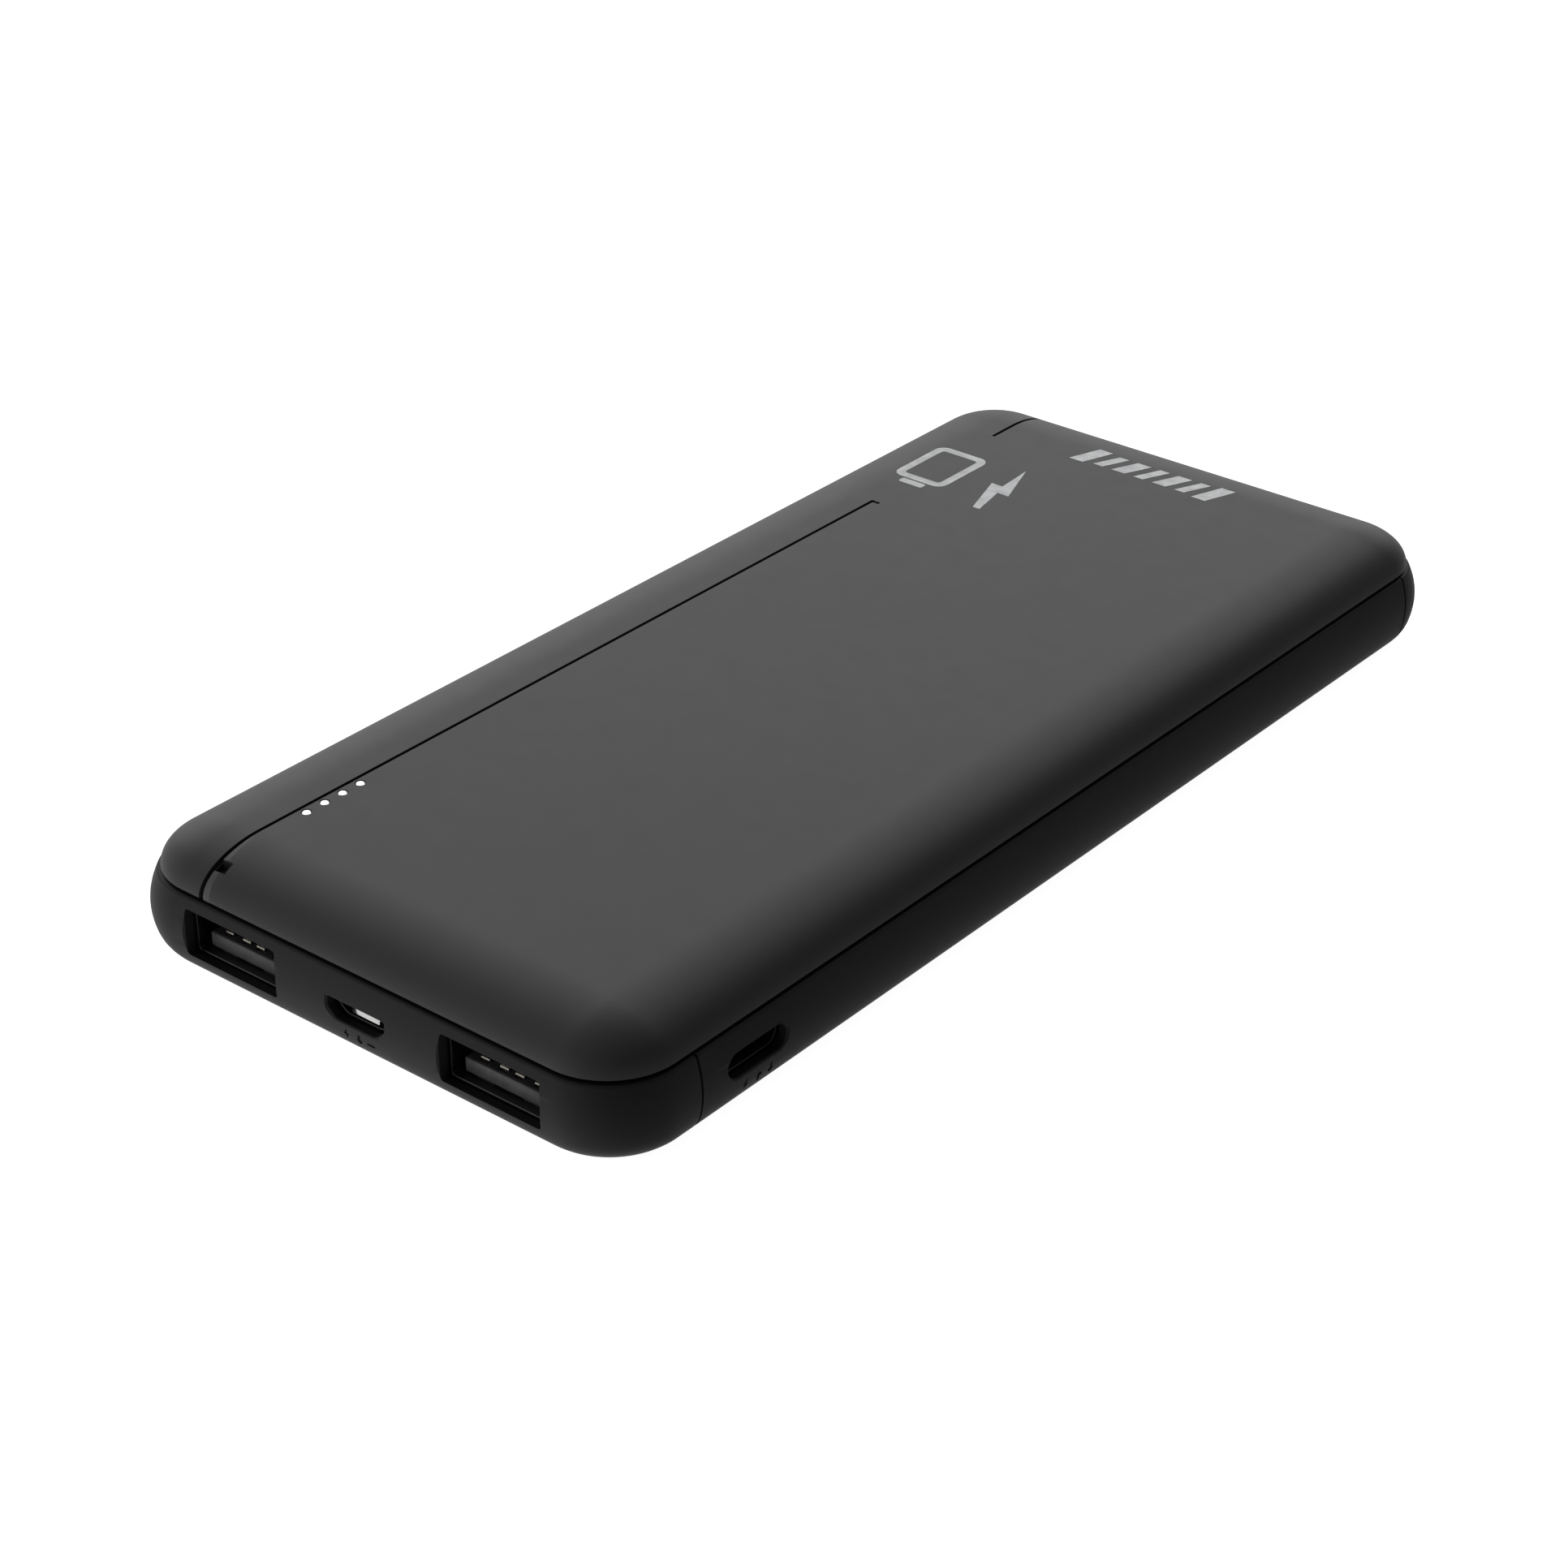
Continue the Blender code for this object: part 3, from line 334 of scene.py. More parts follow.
def loft(name, rings, surface=None):
    """A closed solid through rings of equal length, capped at both ends."""
    bm = bmesh.new()
    made = [[bm.verts.new(point) for point in ring] for ring in rings]
    count = len(made[0])
    for below, above in zip(made, made[1:]):
        for i in range(count):
            j = (i + 1) % count
            bm.faces.new((below[i], below[j], above[j], above[i]))
    bm.faces.new(list(reversed(made[0])))
    bm.faces.new(made[-1])
    bmesh.ops.recalc_face_normals(bm, faces=bm.faces)
    return add_piece(name, bm, surface)


def box_piece(name, low, high, surface=None, edge=0.0, steps=2):
    """A box between two corners, with its edges rounded by edge."""
    low, high = Vector(low), Vector(high)
    bm = bmesh.new()
    bmesh.ops.create_cube(bm, size=1.0)
    bmesh.ops.scale(bm, vec=high - low, verts=bm.verts)
    bmesh.ops.translate(bm, vec=(low + high) / 2, verts=bm.verts)
    if edge:
        bmesh.ops.bevel(bm, geom=bm.edges, offset=edge, segments=steps, affect="EDGES", profile=0.5)
    return add_piece(name, bm, surface)


def carve(target, tools, operation="DIFFERENCE"):
    """Cuts the tools out of the target for good, and removes them."""
    for tool in tools:
        boolean = target.modifiers.new("cut", "BOOLEAN")
        boolean.object = tool
        boolean.operation = operation
        boolean.solver = "EXACT"
        if tool.data.materials:
            boolean.material_mode = "TRANSFER"
    settle(target)
    for tool in tools:
        bpy.data.objects.remove(tool, do_unlink=True)


def settle(target):
    """Applies the target's modifiers."""
    depsgraph = bpy.context.evaluated_depsgraph_get()
    mesh = bpy.data.meshes.new_from_object(target.evaluated_get(depsgraph))
    target.modifiers.clear()
    old = target.data
    target.data = mesh
    bpy.data.meshes.remove(old)


def smooth(target, angle=32):
    target.data.shade_smooth()
    target.data.set_sharp_from_angle(angle=math.radians(angle))


def finished(made, body, slot, *cad_names):
    """Smooths a piece, hangs it on its body and hides the CAD nodes it stands for."""
    smooth(made)
    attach(made, body)
    if cad_names:
        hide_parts(*cad_names)
    return made


# ---------------------------------------------------------------- the case's shape, as in the CAD source
def plan_ring(offset, z):
    """The parting outline moved out by offset, as points at one height."""
    radius = min(CORNER, max(CORNER + offset, CORNER_LEAST))
    half_x = HALF_W + offset - radius
    half_y = HALF_L + offset - radius
    ring = []
    for side_x, side_y, first in CORNERS:
        for step in range(ARC_STEPS + 1):
            angle = math.radians(first + 90 * step / ARC_STEPS)
            x = side_x * half_x + radius * math.cos(angle)
            y = side_y * half_y + radius * math.sin(angle)
            ring.append(Vector((x, y, z)))
        if side_x != side_y:  # a long side comes next
            along, length, steps = Vector((0.0, side_x, 0.0)), 2 * half_y, LONG_STEPS
        else:
            along, length, steps = Vector((-side_x, 0.0, 0.0)), 2 * half_x, SHORT_STEPS
        ring += [ring[-1] + along * (length * step / steps) for step in range(1, steps)]
    return ring


def wall_offset(z):
    """How far the lower case's wall stands outside the parting outline at a height."""
    rise = (z - BULGE_Z) / BULGE_REACH
    return max(0.0, BULGE * (1 - rise * rise)) - SHY


def foot_offset(t):
    """The same on the rounding down to the base: t is 0 at the wall and 1 at the base."""
    top = wall_offset(FOOT_Z)
    slope = -2 * BULGE * (FOOT_Z - BULGE_Z) / BULGE_REACH**2
    bend = top - slope * FOOT_Z
    return (1 - t) ** 2 * top + 2 * t * (1 - t) * bend - t * t * FOOT_INSET


def outer_offset(z):
    """The same at any height."""
    if z >= FOOT_Z:
        return wall_offset(z)
    return foot_offset(1 - math.sqrt(z / FOOT_Z))


def lower_rings():
    """The lower case's outside, from the base up to the rounding at its rim."""
    rings = [plan_ring(-FOOT_INSET - FLAT_STRIP, 0.0)]
    for step in range(FOOT_STEPS):
        t = 1 - step / FOOT_STEPS
        rings.append(plan_ring(foot_offset(t), (1 - t) ** 2 * FOOT_Z))
    wall_top = PARTING_Z - PARTING_GAP - LIP_BASE
    for step in range(WALL_STEPS + 1):
        z = FOOT_Z + (wall_top - FOOT_Z) * step / WALL_STEPS
        rings.append(plan_ring(wall_offset(z), z))
    reach = wall_offset(wall_top) + LIP
    for step in range(1, LIP_STEPS + 1):
        angle = math.pi / 2 * step / LIP_STEPS
        offset = wall_offset(wall_top) - reach * (1 - math.cos(angle))
        rings.append(plan_ring(offset, wall_top + LIP * math.sin(angle)))
    return rings


def crown_point(angle, run=CROWN_RUN, rise=CROWN_RISE):
    """Inset and height on the crown's quarter ellipse."""
    return run * (1 - math.cos(angle)), rise * math.sin(angle)


def crown_rings():
    """The top cover's outside, from the parting line up to the flat top."""
    edge = 0.00012
    rings = [plan_ring(-edge - SHY, PARTING_Z)]
    for step in range(CROWN_STEPS + 1):
        inset, rise = crown_point(math.pi / 2 * step / CROWN_STEPS, rise=CROWN_RISE - PRINT)
        rings.append(plan_ring(-inset - SHY, PARTING_Z + rise))
    rings[1] = plan_ring(-SHY, PARTING_Z + edge)
    rings.append(plan_ring(-CROWN_RUN - FLAT_STRIP, TOP_Z - PRINT))
    return rings


def front_path(last):
    """Points and outward normals up the crown's front edge, and then back along the flat top to last."""
    stations = []
    for step in range(PATH_STEPS + 1):
        angle = math.pi / 2 * step / PATH_STEPS
        inset, rise = crown_point(angle)
        normal = Vector((0.0, -CROWN_RISE * math.cos(angle), CROWN_RUN * math.sin(angle))).normalized()
        stations.append((Vector((0.0, -HALF_L + inset, PARTING_Z + rise)), normal))
    stations.append((Vector((0.0, last, TOP_Z)), Vector((0.0, 0.0, 1.0))))
    return stations


def strip_cutter(name, stations, section, surface=None):
    """A closed strip through the stations: section gives a station's corners as (x, out) pairs."""
    first, normal = stations[0]
    below = (first - Vector((0.0, 0.0, PROUD)), normal)
    rings = []
    for i, (point, out) in enumerate([below] + stations):
        corners = section(max(0.0, (i - 1) / (len(stations) - 2)))
        rings.append([point + Vector((x, 0.0, 0.0)) + out * rise for x, rise in corners])
    return loft(name, rings, surface)


def groove_section(_):
    """The groove's section, the same all along."""
    left, right = GROOVE_X - GROOVE_WIDTH / 2, GROOVE_X + GROOVE_WIDTH / 2
    return [(left, -GROOVE_DEPTH), (right, -GROOVE_DEPTH), (right, PROUD), (left, PROUD)]


def facet_section(along):
    """The tilted strip beside the groove, deepest at the parting line and gone where the flat top starts."""
    overlap = 0.00002  # into the groove
    clear = 0.00004  # of the crown along its right edge, so that it ends in a clean line
    depth = FACET_DEPTH * max(0.0, 1 - along) ** FACET_FADE + SHY
    left = GROOVE_X + GROOVE_WIDTH / 2 - overlap
    right = left + FACET_WIDTH
    return [(left, -depth), (right, clear), (right, PROUD), (left, PROUD)]


def mirrored_in_y(target):
    target.data.transform(Matrix.Scale(-1, 4, Vector((0, 1, 0))))
    target.data.flip_normals()
    return target


def circle(place, radius, z):
    """Points on a level circle."""
    x, y = place
    turns = [2 * math.pi * i / CIRCLE_STEPS for i in range(CIRCLE_STEPS)]
    return [Vector((x + radius * math.cos(turn), y + radius * math.sin(turn), z)) for turn in turns]


def turned(name, place, rings, surface=None):
    """A round solid about a vertical line: rings are (radius, height) pairs."""
    return loft(name, [circle(place, radius, z) for radius, z in rings], surface)


def middle_of(node):
    """Where a node's middle is in plan."""
    low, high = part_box(node)
    return (low.x + high.x) / 2, (low.y + high.y) / 2


def top_hollow():
    """The room under the roof, and inside the lip that locates the cover in the tray."""
    rings = [plan_ring(-LIP_IN, LIP_Z - GAP)]
    first = math.acos(1 - (LIP_IN - ROOF) / (CROWN_RUN - ROOF))
    for step in range(ROOF_STEPS + 1):
        angle = first + (math.pi / 2 - first) * step / ROOF_STEPS
        inset, rise = crown_point(angle, CROWN_RUN - ROOF, CROWN_RISE - ROOF)
        rings.append(plan_ring(-ROOF - inset, PARTING_Z + rise))
    return loft("top_hollow", rings)


def groove_hook():
    """The short turn at the long groove's end, kept off the plane of the groove's own end."""
    clear = 0.00003
    low = (GROOVE_X - GROOVE_WIDTH / 4, GROOVE_END_Y - GROOVE_WIDTH - clear, TOP_Z - GROOVE_DEPTH * 0.9)
    high = (GROOVE_X + HOOK_LENGTH, GROOVE_END_Y - clear, TOP_Z + PROUD)
    return box_piece("hook", low, high, edge=GROOVE_WIDTH * 0.3)


def light_hole(place):
    """A hole for a light tip, flared at the top."""
    flare, flare_z, above_z = 0.0002, TOP_Z - 0.00013, TOP_Z + 0.00007
    rings = [(LIGHT_HOLE_R, PARTING_Z), (LIGHT_HOLE_R, flare_z), (LIGHT_HOLE_R + flare, above_z)]
    return turned("light_hole", place, rings)


def make_top_cover():
    outer = [plan_ring(-LIP_OUT, LIP_Z), plan_ring(-LIP_OUT, PARTING_Z)]
    made = loft("top_cover_skin", outer + crown_rings(), CASE)
    # The facet's cutter carries the lighter plastic, a painted highlight, onto the faces it cuts.
    facet = strip_cutter("facet", front_path(-HALF_L + CROWN_RUN + FACET_TAIL), facet_section, FACET_PAINTED_HIGHLIGHT)
    long_groove = strip_cutter("long", front_path(GROOVE_END_Y), groove_section)
    short_groove = mirrored_in_y(strip_cutter("short", front_path(-GROOVE_RESTART_Y), groove_section))
    notch = box_piece("notch", NOTCH_LOW, NOTCH_HIGH)
    tools = [top_hollow(), long_groove, short_groove, groove_hook(), notch]
    tools += [light_hole(middle_of(name)) for name in LIGHTS]
    carve(made, tools + [facet])  # the facet last: cut earlier, it leaves open edges
    return finished(made, "case", "case_black", "top_cover")


# ---------------------------------------------------------------- openings and marks in the lower case
def lower_piece(name, low_y, high_y):
    """The part of the lower case between two places along Y, hollow and open above."""
    made = loft(name, lower_rings(), SIDE)
    reach = 2 * HALF_W
    kept = box_piece("kept", (-reach, low_y, -reach), (reach, high_y, reach))
    carve(made, [kept], "INTERSECT")
    carve(made, [loft("hollow", [plan_ring(-WALL, FLOOR), plan_ring(-WALL, TOP_Z)])])
    return made


def faced(place, depth, axis, u, v):
    """A point u across and v up from a place on a wall that faces along X or Y."""
    if axis == "Y":
        return Vector((place[0] + u, depth, place[1] + v))
    return Vector((depth, place[0] + u, place[1] + v))


def rounded_ring(width, height, radius, depth, place, axis, steps=ROUND_STEPS):
    """A rounded rectangle facing along X or Y, at a depth on that axis."""
    ring = []
    for side_u, side_v, first in CORNERS:
        for step in range(steps + 1):
            angle = math.radians(first + 90 * step / steps)
            u = side_u * (width / 2 - radius) + radius * math.cos(angle)
            v = side_v * (height / 2 - radius) + radius * math.sin(angle)
            ring.append(faced(place, depth, axis, u, v))
    return ring


def pill_ring(size, depth, place, axis, steps=ROUND_STEPS):
    """The same with nearly half-round ends."""
    return rounded_ring(*size, size[1] * PILL, depth, place, axis, steps)


def micro_ring(extra, depth):
    """The micro-USB outline, full width above and its lower corners cut, with every corner softened."""
    half_w, half_h = MICRO_OPENING[0] / 2 + extra, MICRO_OPENING[1] / 2 + extra
    cut_x, cut_z = MICRO_CUT
    softening, low_share, high_share = 0.0005, 0.35, 0.14  # at most this far, or this share of a side
    corners = [
        (-half_w + cut_x, -half_h, low_share),
        (half_w - cut_x, -half_h, low_share),
        (half_w, -half_h + cut_z, low_share),
        (half_w, half_h, high_share),
        (-half_w, half_h, high_share),
        (-half_w, -half_h + cut_z, low_share),
    ]
    ring = []
    for i, (u, v, share) in enumerate(corners):
        here = Vector((u, v))
        before = Vector(corners[i - 1][:2])
        after = Vector(corners[(i + 1) % len(corners)][:2])
        start = here.lerp(before, min(share, softening / (here - before).length))
        end = here.lerp(after, min(share, softening / (here - after).length))
        for step in range(MOUTH_STEPS + 1):
            t = step / MOUTH_STEPS
            point = start.lerp(here, t).lerp(here.lerp(end, t), t)
            ring.append(Vector((point.x, depth, MICRO_Z + point.y)))
    return ring


def mouth_cutter(name, ring, face, inner, edge=0.00022):
    """An opening from its face to a depth, its outer edge rounded. ring(extra, depth) is its outline."""
    inward = 1 if inner > face else -1
    rings = [ring(edge, face - inward * PROUD), ring(edge, face)]
    for step in range(1, MOUTH_STEPS + 1):
        angle = math.pi / 2 * step / MOUTH_STEPS
        rings.append(ring(edge * (1 - math.sin(angle)), face + inward * edge * (1 - math.cos(angle))))
    rings.append(ring(0.0, inner))
    return loft(name, rings)


def rectangle_mouth(size, radius, place, axis):
    """The outline of a rounded rectangle opening, for mouth_cutter and tube."""
    return lambda extra, depth: rounded_ring(
        size[0] + 2 * extra, size[1] + 2 * extra, radius + extra, depth, place, axis
    )


def pill_mouth(size, place):
    """The same on an X side, with nearly half-round ends."""
    return rectangle_mouth(size, size[1] * PILL, place, "X")


def engraving(points, centre, axis, side):
    """A shallow cutter on the front or the +X wall: points are (across, up) pairs round the mark."""
    depth, proud = 0.00014, 0.0006
    half = HALF_L if axis == "Y" else HALF_W
    rings = [[], []]
    for u, v in points:
        surface = half + outer_offset(centre[1] + v)
        rings[0].append(faced(centre, side * (surface - depth), axis, u, v))
        rings[1].append(faced(centre, side * (surface + proud), axis, u, v))
    return loft("mark", rings)


BOLT = [(0.10, 1.0), (-0.62, -0.12), (-0.10, -0.12), (-0.22, -1.0), (0.62, 0.18), (0.10, 0.18), (0.42, 1.0)]


def arrow(half, side):
    """An arrow pointing down (side -1) or up (side 1), about its middle."""
    stem, head = 0.28 * half, 0.80 * half
    return [
        (-stem, -side * half),
        (stem, -side * half),
        (stem, 0.0),
        (head, 0.0),
        (0.0, side * half),
        (-head, 0.0),
        (-stem, 0.0),
    ]


def scaled(points, size):
    return [(u * size, v * size) for u, v in points]


def bar(width, height):
    return rectangle((-width / 2, -height / 2), (width / 2, height / 2))


def rectangle(low, high):
    return [low, (high[0], low[1]), high, (low[0], high[1])]


def make_front_cap():
    made = lower_piece("front_cap_skin", -FAR, FRONT_SEAM_Y - SEAM / 2)
    face = -HALF_L - wall_offset(PORT_Z) + 0.00008  # a little inside the bulge
    inside = -HALF_L + WALL + POCKET_DEPTH
    tools = []
    for side in (-1, 1):
        place = (side * USB_A_X, PORT_Z)
        ring = rectangle_mouth(USB_A_OPENING, USB_A_ROUND, place, "Y")
        tools.append(mouth_cutter("usb_a", ring, face, inside))
        room = [size + SHELL_ROOM for size in USB_A_SHELL]
        pocket = [rounded_ring(*room, USB_A_ROOM_ROUND, y, place, "Y") for y in (USB_A_MOUTH_Y - GAP, inside)]
        tools.append(loft("usb_a_room", pocket))
    tools.append(mouth_cutter("micro", micro_ring, face, inside))
    tools.append(loft("micro_room", [micro_ring(GAP, MICRO_MOUTH_Y - GAP), micro_ring(GAP, inside)]))
    marks = ((-0.0016, scaled(BOLT, 0.00062)), (0.0002, arrow(0.00060, -1)), (0.0018, bar(0.0011, 0.0003)))
    tools += [engraving(points, (x, 0.00265), "Y", -1) for x, points in marks]
    carve(made, tools)
    carve(made, side_tongues("front", FRONT_SEAM_Y, 1), "UNION")
    return finished(made, "case", "side_black", "front_end_cap")


def side_tongues(name, seam_y, inward):
    """Two strips that lap inside the side walls past the seam: inward is +1 or -1 along Y."""
    low_z, high_z = FLOOR - 0.0001, LIP_Z - 2 * GAP
    clear, far = 0.0008, 0.0018  # from the wall's inside to the strip's two faces
    past, behind = 0.0018, 0.0016  # how far it runs on either side of the seam
    strips = []
    for side in (-1, 1):
        across = sorted(side * (HALF_W - WALL - inset) for inset in (clear, far))
        along = sorted(seam_y + inward * reach for reach in (past, -behind))
        low, high = (across[0], along[0], FLOOR + GAP), (across[1], along[1], high_z)
        strips.append(box_piece(f"{name}_strip_{side}", low, high))
        root = sorted(side * (HALF_W - WALL - inset) for inset in (-GAP, far))
        back = sorted(seam_y - inward * reach for reach in (GAP, behind))
        low, high = (root[0], back[0], low_z), (root[1], back[1], high_z - GAP)
        strips.append(box_piece(f"{name}_root_{side}", low, high))
    return strips


def add_bosses(target):
    """The posts that the board's screws go into, and the rib in front of the cells."""
    boss_r, screw_r, boss_z = 0.0019, 0.0009, 0.0070
    for number in (1, 2, 3):
        place = middle_of(f"board_screw_{number}")
        post = [(boss_r + 0.0004, FLOOR - GAP), (boss_r, FLOOR + 0.0006)]
        post += [(boss_r, boss_z), (boss_r - 0.0001, boss_z + 0.0001)]
        carve(target, [turned("boss", place, post)], "UNION")
        hole = [(screw_r, FLOOR + GAP), (screw_r, boss_z + 0.0005)]
        carve(target, [turned("boss_hole", place, hole)])
    rib = box_piece("cell_rib", (-0.0260, -0.0439, FLOOR - GAP), (0.0260, -0.0429, 0.0055))
    carve(target, [rib], "UNION")


def make_tray():
    made = lower_piece("bottom_cover_skin", FRONT_SEAM_Y + SEAM / 2, REAR_SEAM_Y - SEAM / 2)
    add_bosses(made)
    face = HALF_W + wall_offset(USB_C_Z)
    sink = 0.00006  # a little inside the bulge
    inner = HALF_W - WALL - POCKET_DEPTH
    place = (USB_C_Y, USB_C_Z)
    mouth = mouth_cutter("usb_c", pill_mouth(USB_C_OPENING, place), face - sink, inner)
    room_size = [size + SHELL_ROOM for size in USB_C_SHELL]
    room = loft("usb_c_room", [pill_ring(room_size, x, place, "X") for x in (inner, USB_C_MOUTH_X + GAP)])
    hole = pill_mouth([size + GAP for size in BUTTON_SIZE], (BUTTON_Y, BUTTON_Z))
    button = mouth_cutter("button", hole, -face + sink, -inner, edge=0.00015)
    marks = ((-0.0017, scaled(BOLT, 0.00066)), (0.0003, arrow(0.00064, 1)), (0.0021, arrow(0.00064, -1)))
    engraved = [engraving(points, (USB_C_Y + y, 0.00255), "X", 1) for y, points in marks]
    carve(made, [mouth, room, button] + engraved)
    return finished(made, "case", "side_black", "bottom_cover")


def make_rear_cap():
    made = lower_piece("rear_cap_skin", REAR_SEAM_Y + SEAM / 2, FAR)
    carve(made, side_tongues("rear", REAR_SEAM_Y, -1), "UNION")
    return finished(made, "case", "side_black", "rear_end_cap")


# ---------------------------------------------------------------- prints on the top
def printed(name, outline, hole=None):
    """A thin layer of ink on the flat top, in the outline given as (x, y) pairs."""
    low_z, high_z = TOP_Z - 2 * PRINT, TOP_Z - SHY
    made = loft(name, [[Vector((x, y, z)) for x, y in outline] for z in (low_z, high_z)], INK)
    if hole is not None:
        cut = [[Vector((x, y, z)) for x, y in hole] for z in (low_z - PROUD, high_z + PROUD)]
        carve(made, [loft("hole", cut)])
    return finished(made, "case", None)


def rounded_outline(low, high, radius):
    """A rounded rectangle between two corners, as (x, y) pairs."""
    points = []
    middle = ((low[0] + high[0]) / 2, (low[1] + high[1]) / 2)
    half = ((high[0] - low[0]) / 2 - radius, (high[1] - low[1]) / 2 - radius)
    for side_x, side_y, first in CORNERS:
        for step in range(ROUND_STEPS + 1):
            angle = math.radians(first + 90 * step / ROUND_STEPS)
            x = middle[0] + side_x * half[0] + radius * math.cos(angle)
            y = middle[1] + side_y * half[1] + radius * math.sin(angle)
            points.append((x, y))
    return points


def print_battery():
    stroke = 0.0011
    low, high = (-0.0257, 0.0441), (-0.0182, 0.0543)
    inner = [(low[0] + stroke, low[1] + stroke), (high[0] - stroke, high[1] - stroke)]
    printed("print_battery", rounded_outline(low, high, 0.0014), rounded_outline(*inner, 0.0005))
    printed("print_battery_end", rounded_outline((-0.0237, 0.0427), (-0.0202, 0.0438), 0.0003))


def print_bolt():
    middle, size = (-0.0124, 0.0486), (0.0031, 0.0062)
    bolt = [(middle[0] + u * size[0], middle[1] - v * size[1]) for u, v in BOLT]
    printed("print_bolt", list(reversed(bolt)))


def print_bars():
    """A row of slanted bars by the rear edge, every other one slim and the outer ones taller."""
    count, pitch, slant = 7, 0.0030, 0.0008
    middle_x, middle_y = -0.0005, 0.0637
    for i in range(count):
        x = middle_x + (i - (count - 1) / 2) * pitch
        half = 0.0007 if i % 2 else 0.0010
        tall = 0.0022 if i in (0, count - 1) else 0.0018
        points = [(x - half - slant, middle_y - tall), (x + half - slant, middle_y - tall)]
        points += [(x + half + slant, middle_y + tall), (x - half + slant, middle_y + tall)]
        printed(f"print_bar_{i + 1}", points)


# ---------------------------------------------------------------- sockets
def tube(name, outer, inner, ends, sheet, edge):
    """A sheet shell from its open end to its closed one. outer and inner are outlines by (extra, depth)."""
    open_end, closed_end = ends
    inward = 1 if closed_end > open_end else -1
    body = [outer(-edge, open_end), outer(0.0, open_end + inward * edge)]
    body += [outer(0.0, closed_end - inward * edge), outer(-edge, closed_end)]
    made = loft(name, body, SOCKET_STEEL)
    room = [inner(edge, open_end - inward * PROUD), inner(edge, open_end)]
    room += [inner(0.0, open_end + inward * edge), inner(0.0, closed_end - inward * sheet)]
    carve(made, [loft("room", room)])
    return made


def make_usb_a(word, x):
    make_usb_a_shell(word, x)
    make_usb_a_insert(word, x)
    for number, pitch in enumerate(USB_A_PITCHES, 1):
        made = contact(f"usb_a_{word}_contact_{number}_skin", x + pitch)
        finished(made, "case", "contact_gold", f"usb_a_{word}_contact_{number}")


def make_usb_a_shell(word, x):
    place = (x, PORT_Z)
    outer = rectangle_mouth(USB_A_SHELL, USB_A_SHELL_ROUND, place, "Y")
    inner = rectangle_mouth(USB_A_INNER, USB_A_INNER_ROUND, place, "Y")
    ends = (USB_A_MOUTH_Y, USB_A_REAR_Y)
    shell = tube(f"usb_a_{word}_shell_skin", outer, inner, ends, USB_A_SHEET, edge=0.00008)
    springs = []
    apart = 0.0030  # from the socket's middle
    for side_z in (-1, 1):
        for side_x in (-1, 1):
            springs.append(shell_spring(x + side_x * apart, PORT_Z + side_z * USB_A_INNER[1] / 2, side_z))
    carve(shell, springs, "UNION")
    finished(shell, "case", "socket_steel", f"usb_a_{word}_shell")


def shell_spring(x, z, side):
    """A pressed spring that bows from the shell's wall into the socket."""
    half, thick, bow, sunk = 0.0011, 0.0002, 0.00045, 0.0001
    start, length, steps = USB_A_MOUTH_Y + 0.0012, 0.0044, 12
    rings = []
    for step in range(steps + 1):
        t = step / steps
        drop = bow * math.sin(math.pi * t) ** 2
        corners = rectangle((x - half, z - side * (drop + thick)), (x + half, z + side * sunk))
        rings.append([Vector((u, start + length * t, v)) for u, v in corners])
    return loft("spring", rings)


def make_usb_a_insert(word, x):
    """A block at the socket's back with a tongue, and a slot in the tongue for each contact."""
    half_w, half_h = USB_A_INNER[0] / 2 - FIT, USB_A_INNER[1] / 2 - FIT
    low = (x - half_w, USB_A_BLOCK_Y, PORT_Z - half_h)
    high = (x + half_w, USB_A_REAR_Y - USB_A_SHEET - FIT, PORT_Z + half_h)
    insert = box_piece(f"usb_a_{word}_insert_skin", low, high, SOCKET_PLASTIC, edge=0.0001)
    low = (x - TONGUE_HALF, TONGUE_Y, TONGUE_LOW)
    high = (x + TONGUE_HALF, USB_A_BLOCK_Y + ROOT, TONGUE_HIGH)
    carve(insert, [box_piece("tongue", low, high, edge=0.00025, steps=3)], "UNION")
    slots = []
    half_slot, slot_depth, slot_start = 0.0006, 0.0004, TONGUE_Y + 0.0005
    for pitch in USB_A_PITCHES:
        low = (x + pitch - half_slot, slot_start, TONGUE_HIGH - slot_depth)
        high = (x + pitch + half_slot, USB_A_BLOCK_Y - 0.0001, TONGUE_HIGH + PROUD)
        slots.append(box_piece("slot", low, high))
    carve(insert, slots)
    finished(insert, "case", "socket_plastic", f"usb_a_{word}_insert")


def contact(name, x):
    """A bent contact strip: its nose stands up at the front, and it lies along the tongue behind."""
    half, thick = 0.00055, 0.00022
    front = TONGUE_Y + 0.0007
    base = TONGUE_HIGH - 0.0003
    path = [(front, base), (front + 0.00012, base + 0.00056), (front + 0.00026, base + 0.00068)]
    path += [(front + 0.0006, base + 0.00072), (front + 0.0018, base + 0.00058)]
    path += [(front + 0.0034, base + 0.00032), (USB_A_BLOCK_Y - 0.0003, base + 0.00026)]
    rings = []
    for i, (y, z) in enumerate(path):
        before, after = path[max(i - 1, 0)], path[min(i + 1, len(path) - 1)]
        along = Vector((after[0] - before[0], after[1] - before[1])).normalized()
        under = Vector((along.y, -along.x)) * thick
        top = [Vector((x - half, y, z)), Vector((x + half, y, z))]
        low_y, low_z = y + under.x, z + under.y
        rings.append(top + [Vector((x + half, low_y, low_z)), Vector((x - half, low_y, low_z))])
    return loft(name, rings, GOLD)


def micro_inner_ring(extra, depth):
    return micro_ring(extra - MICRO_SHEET, depth)


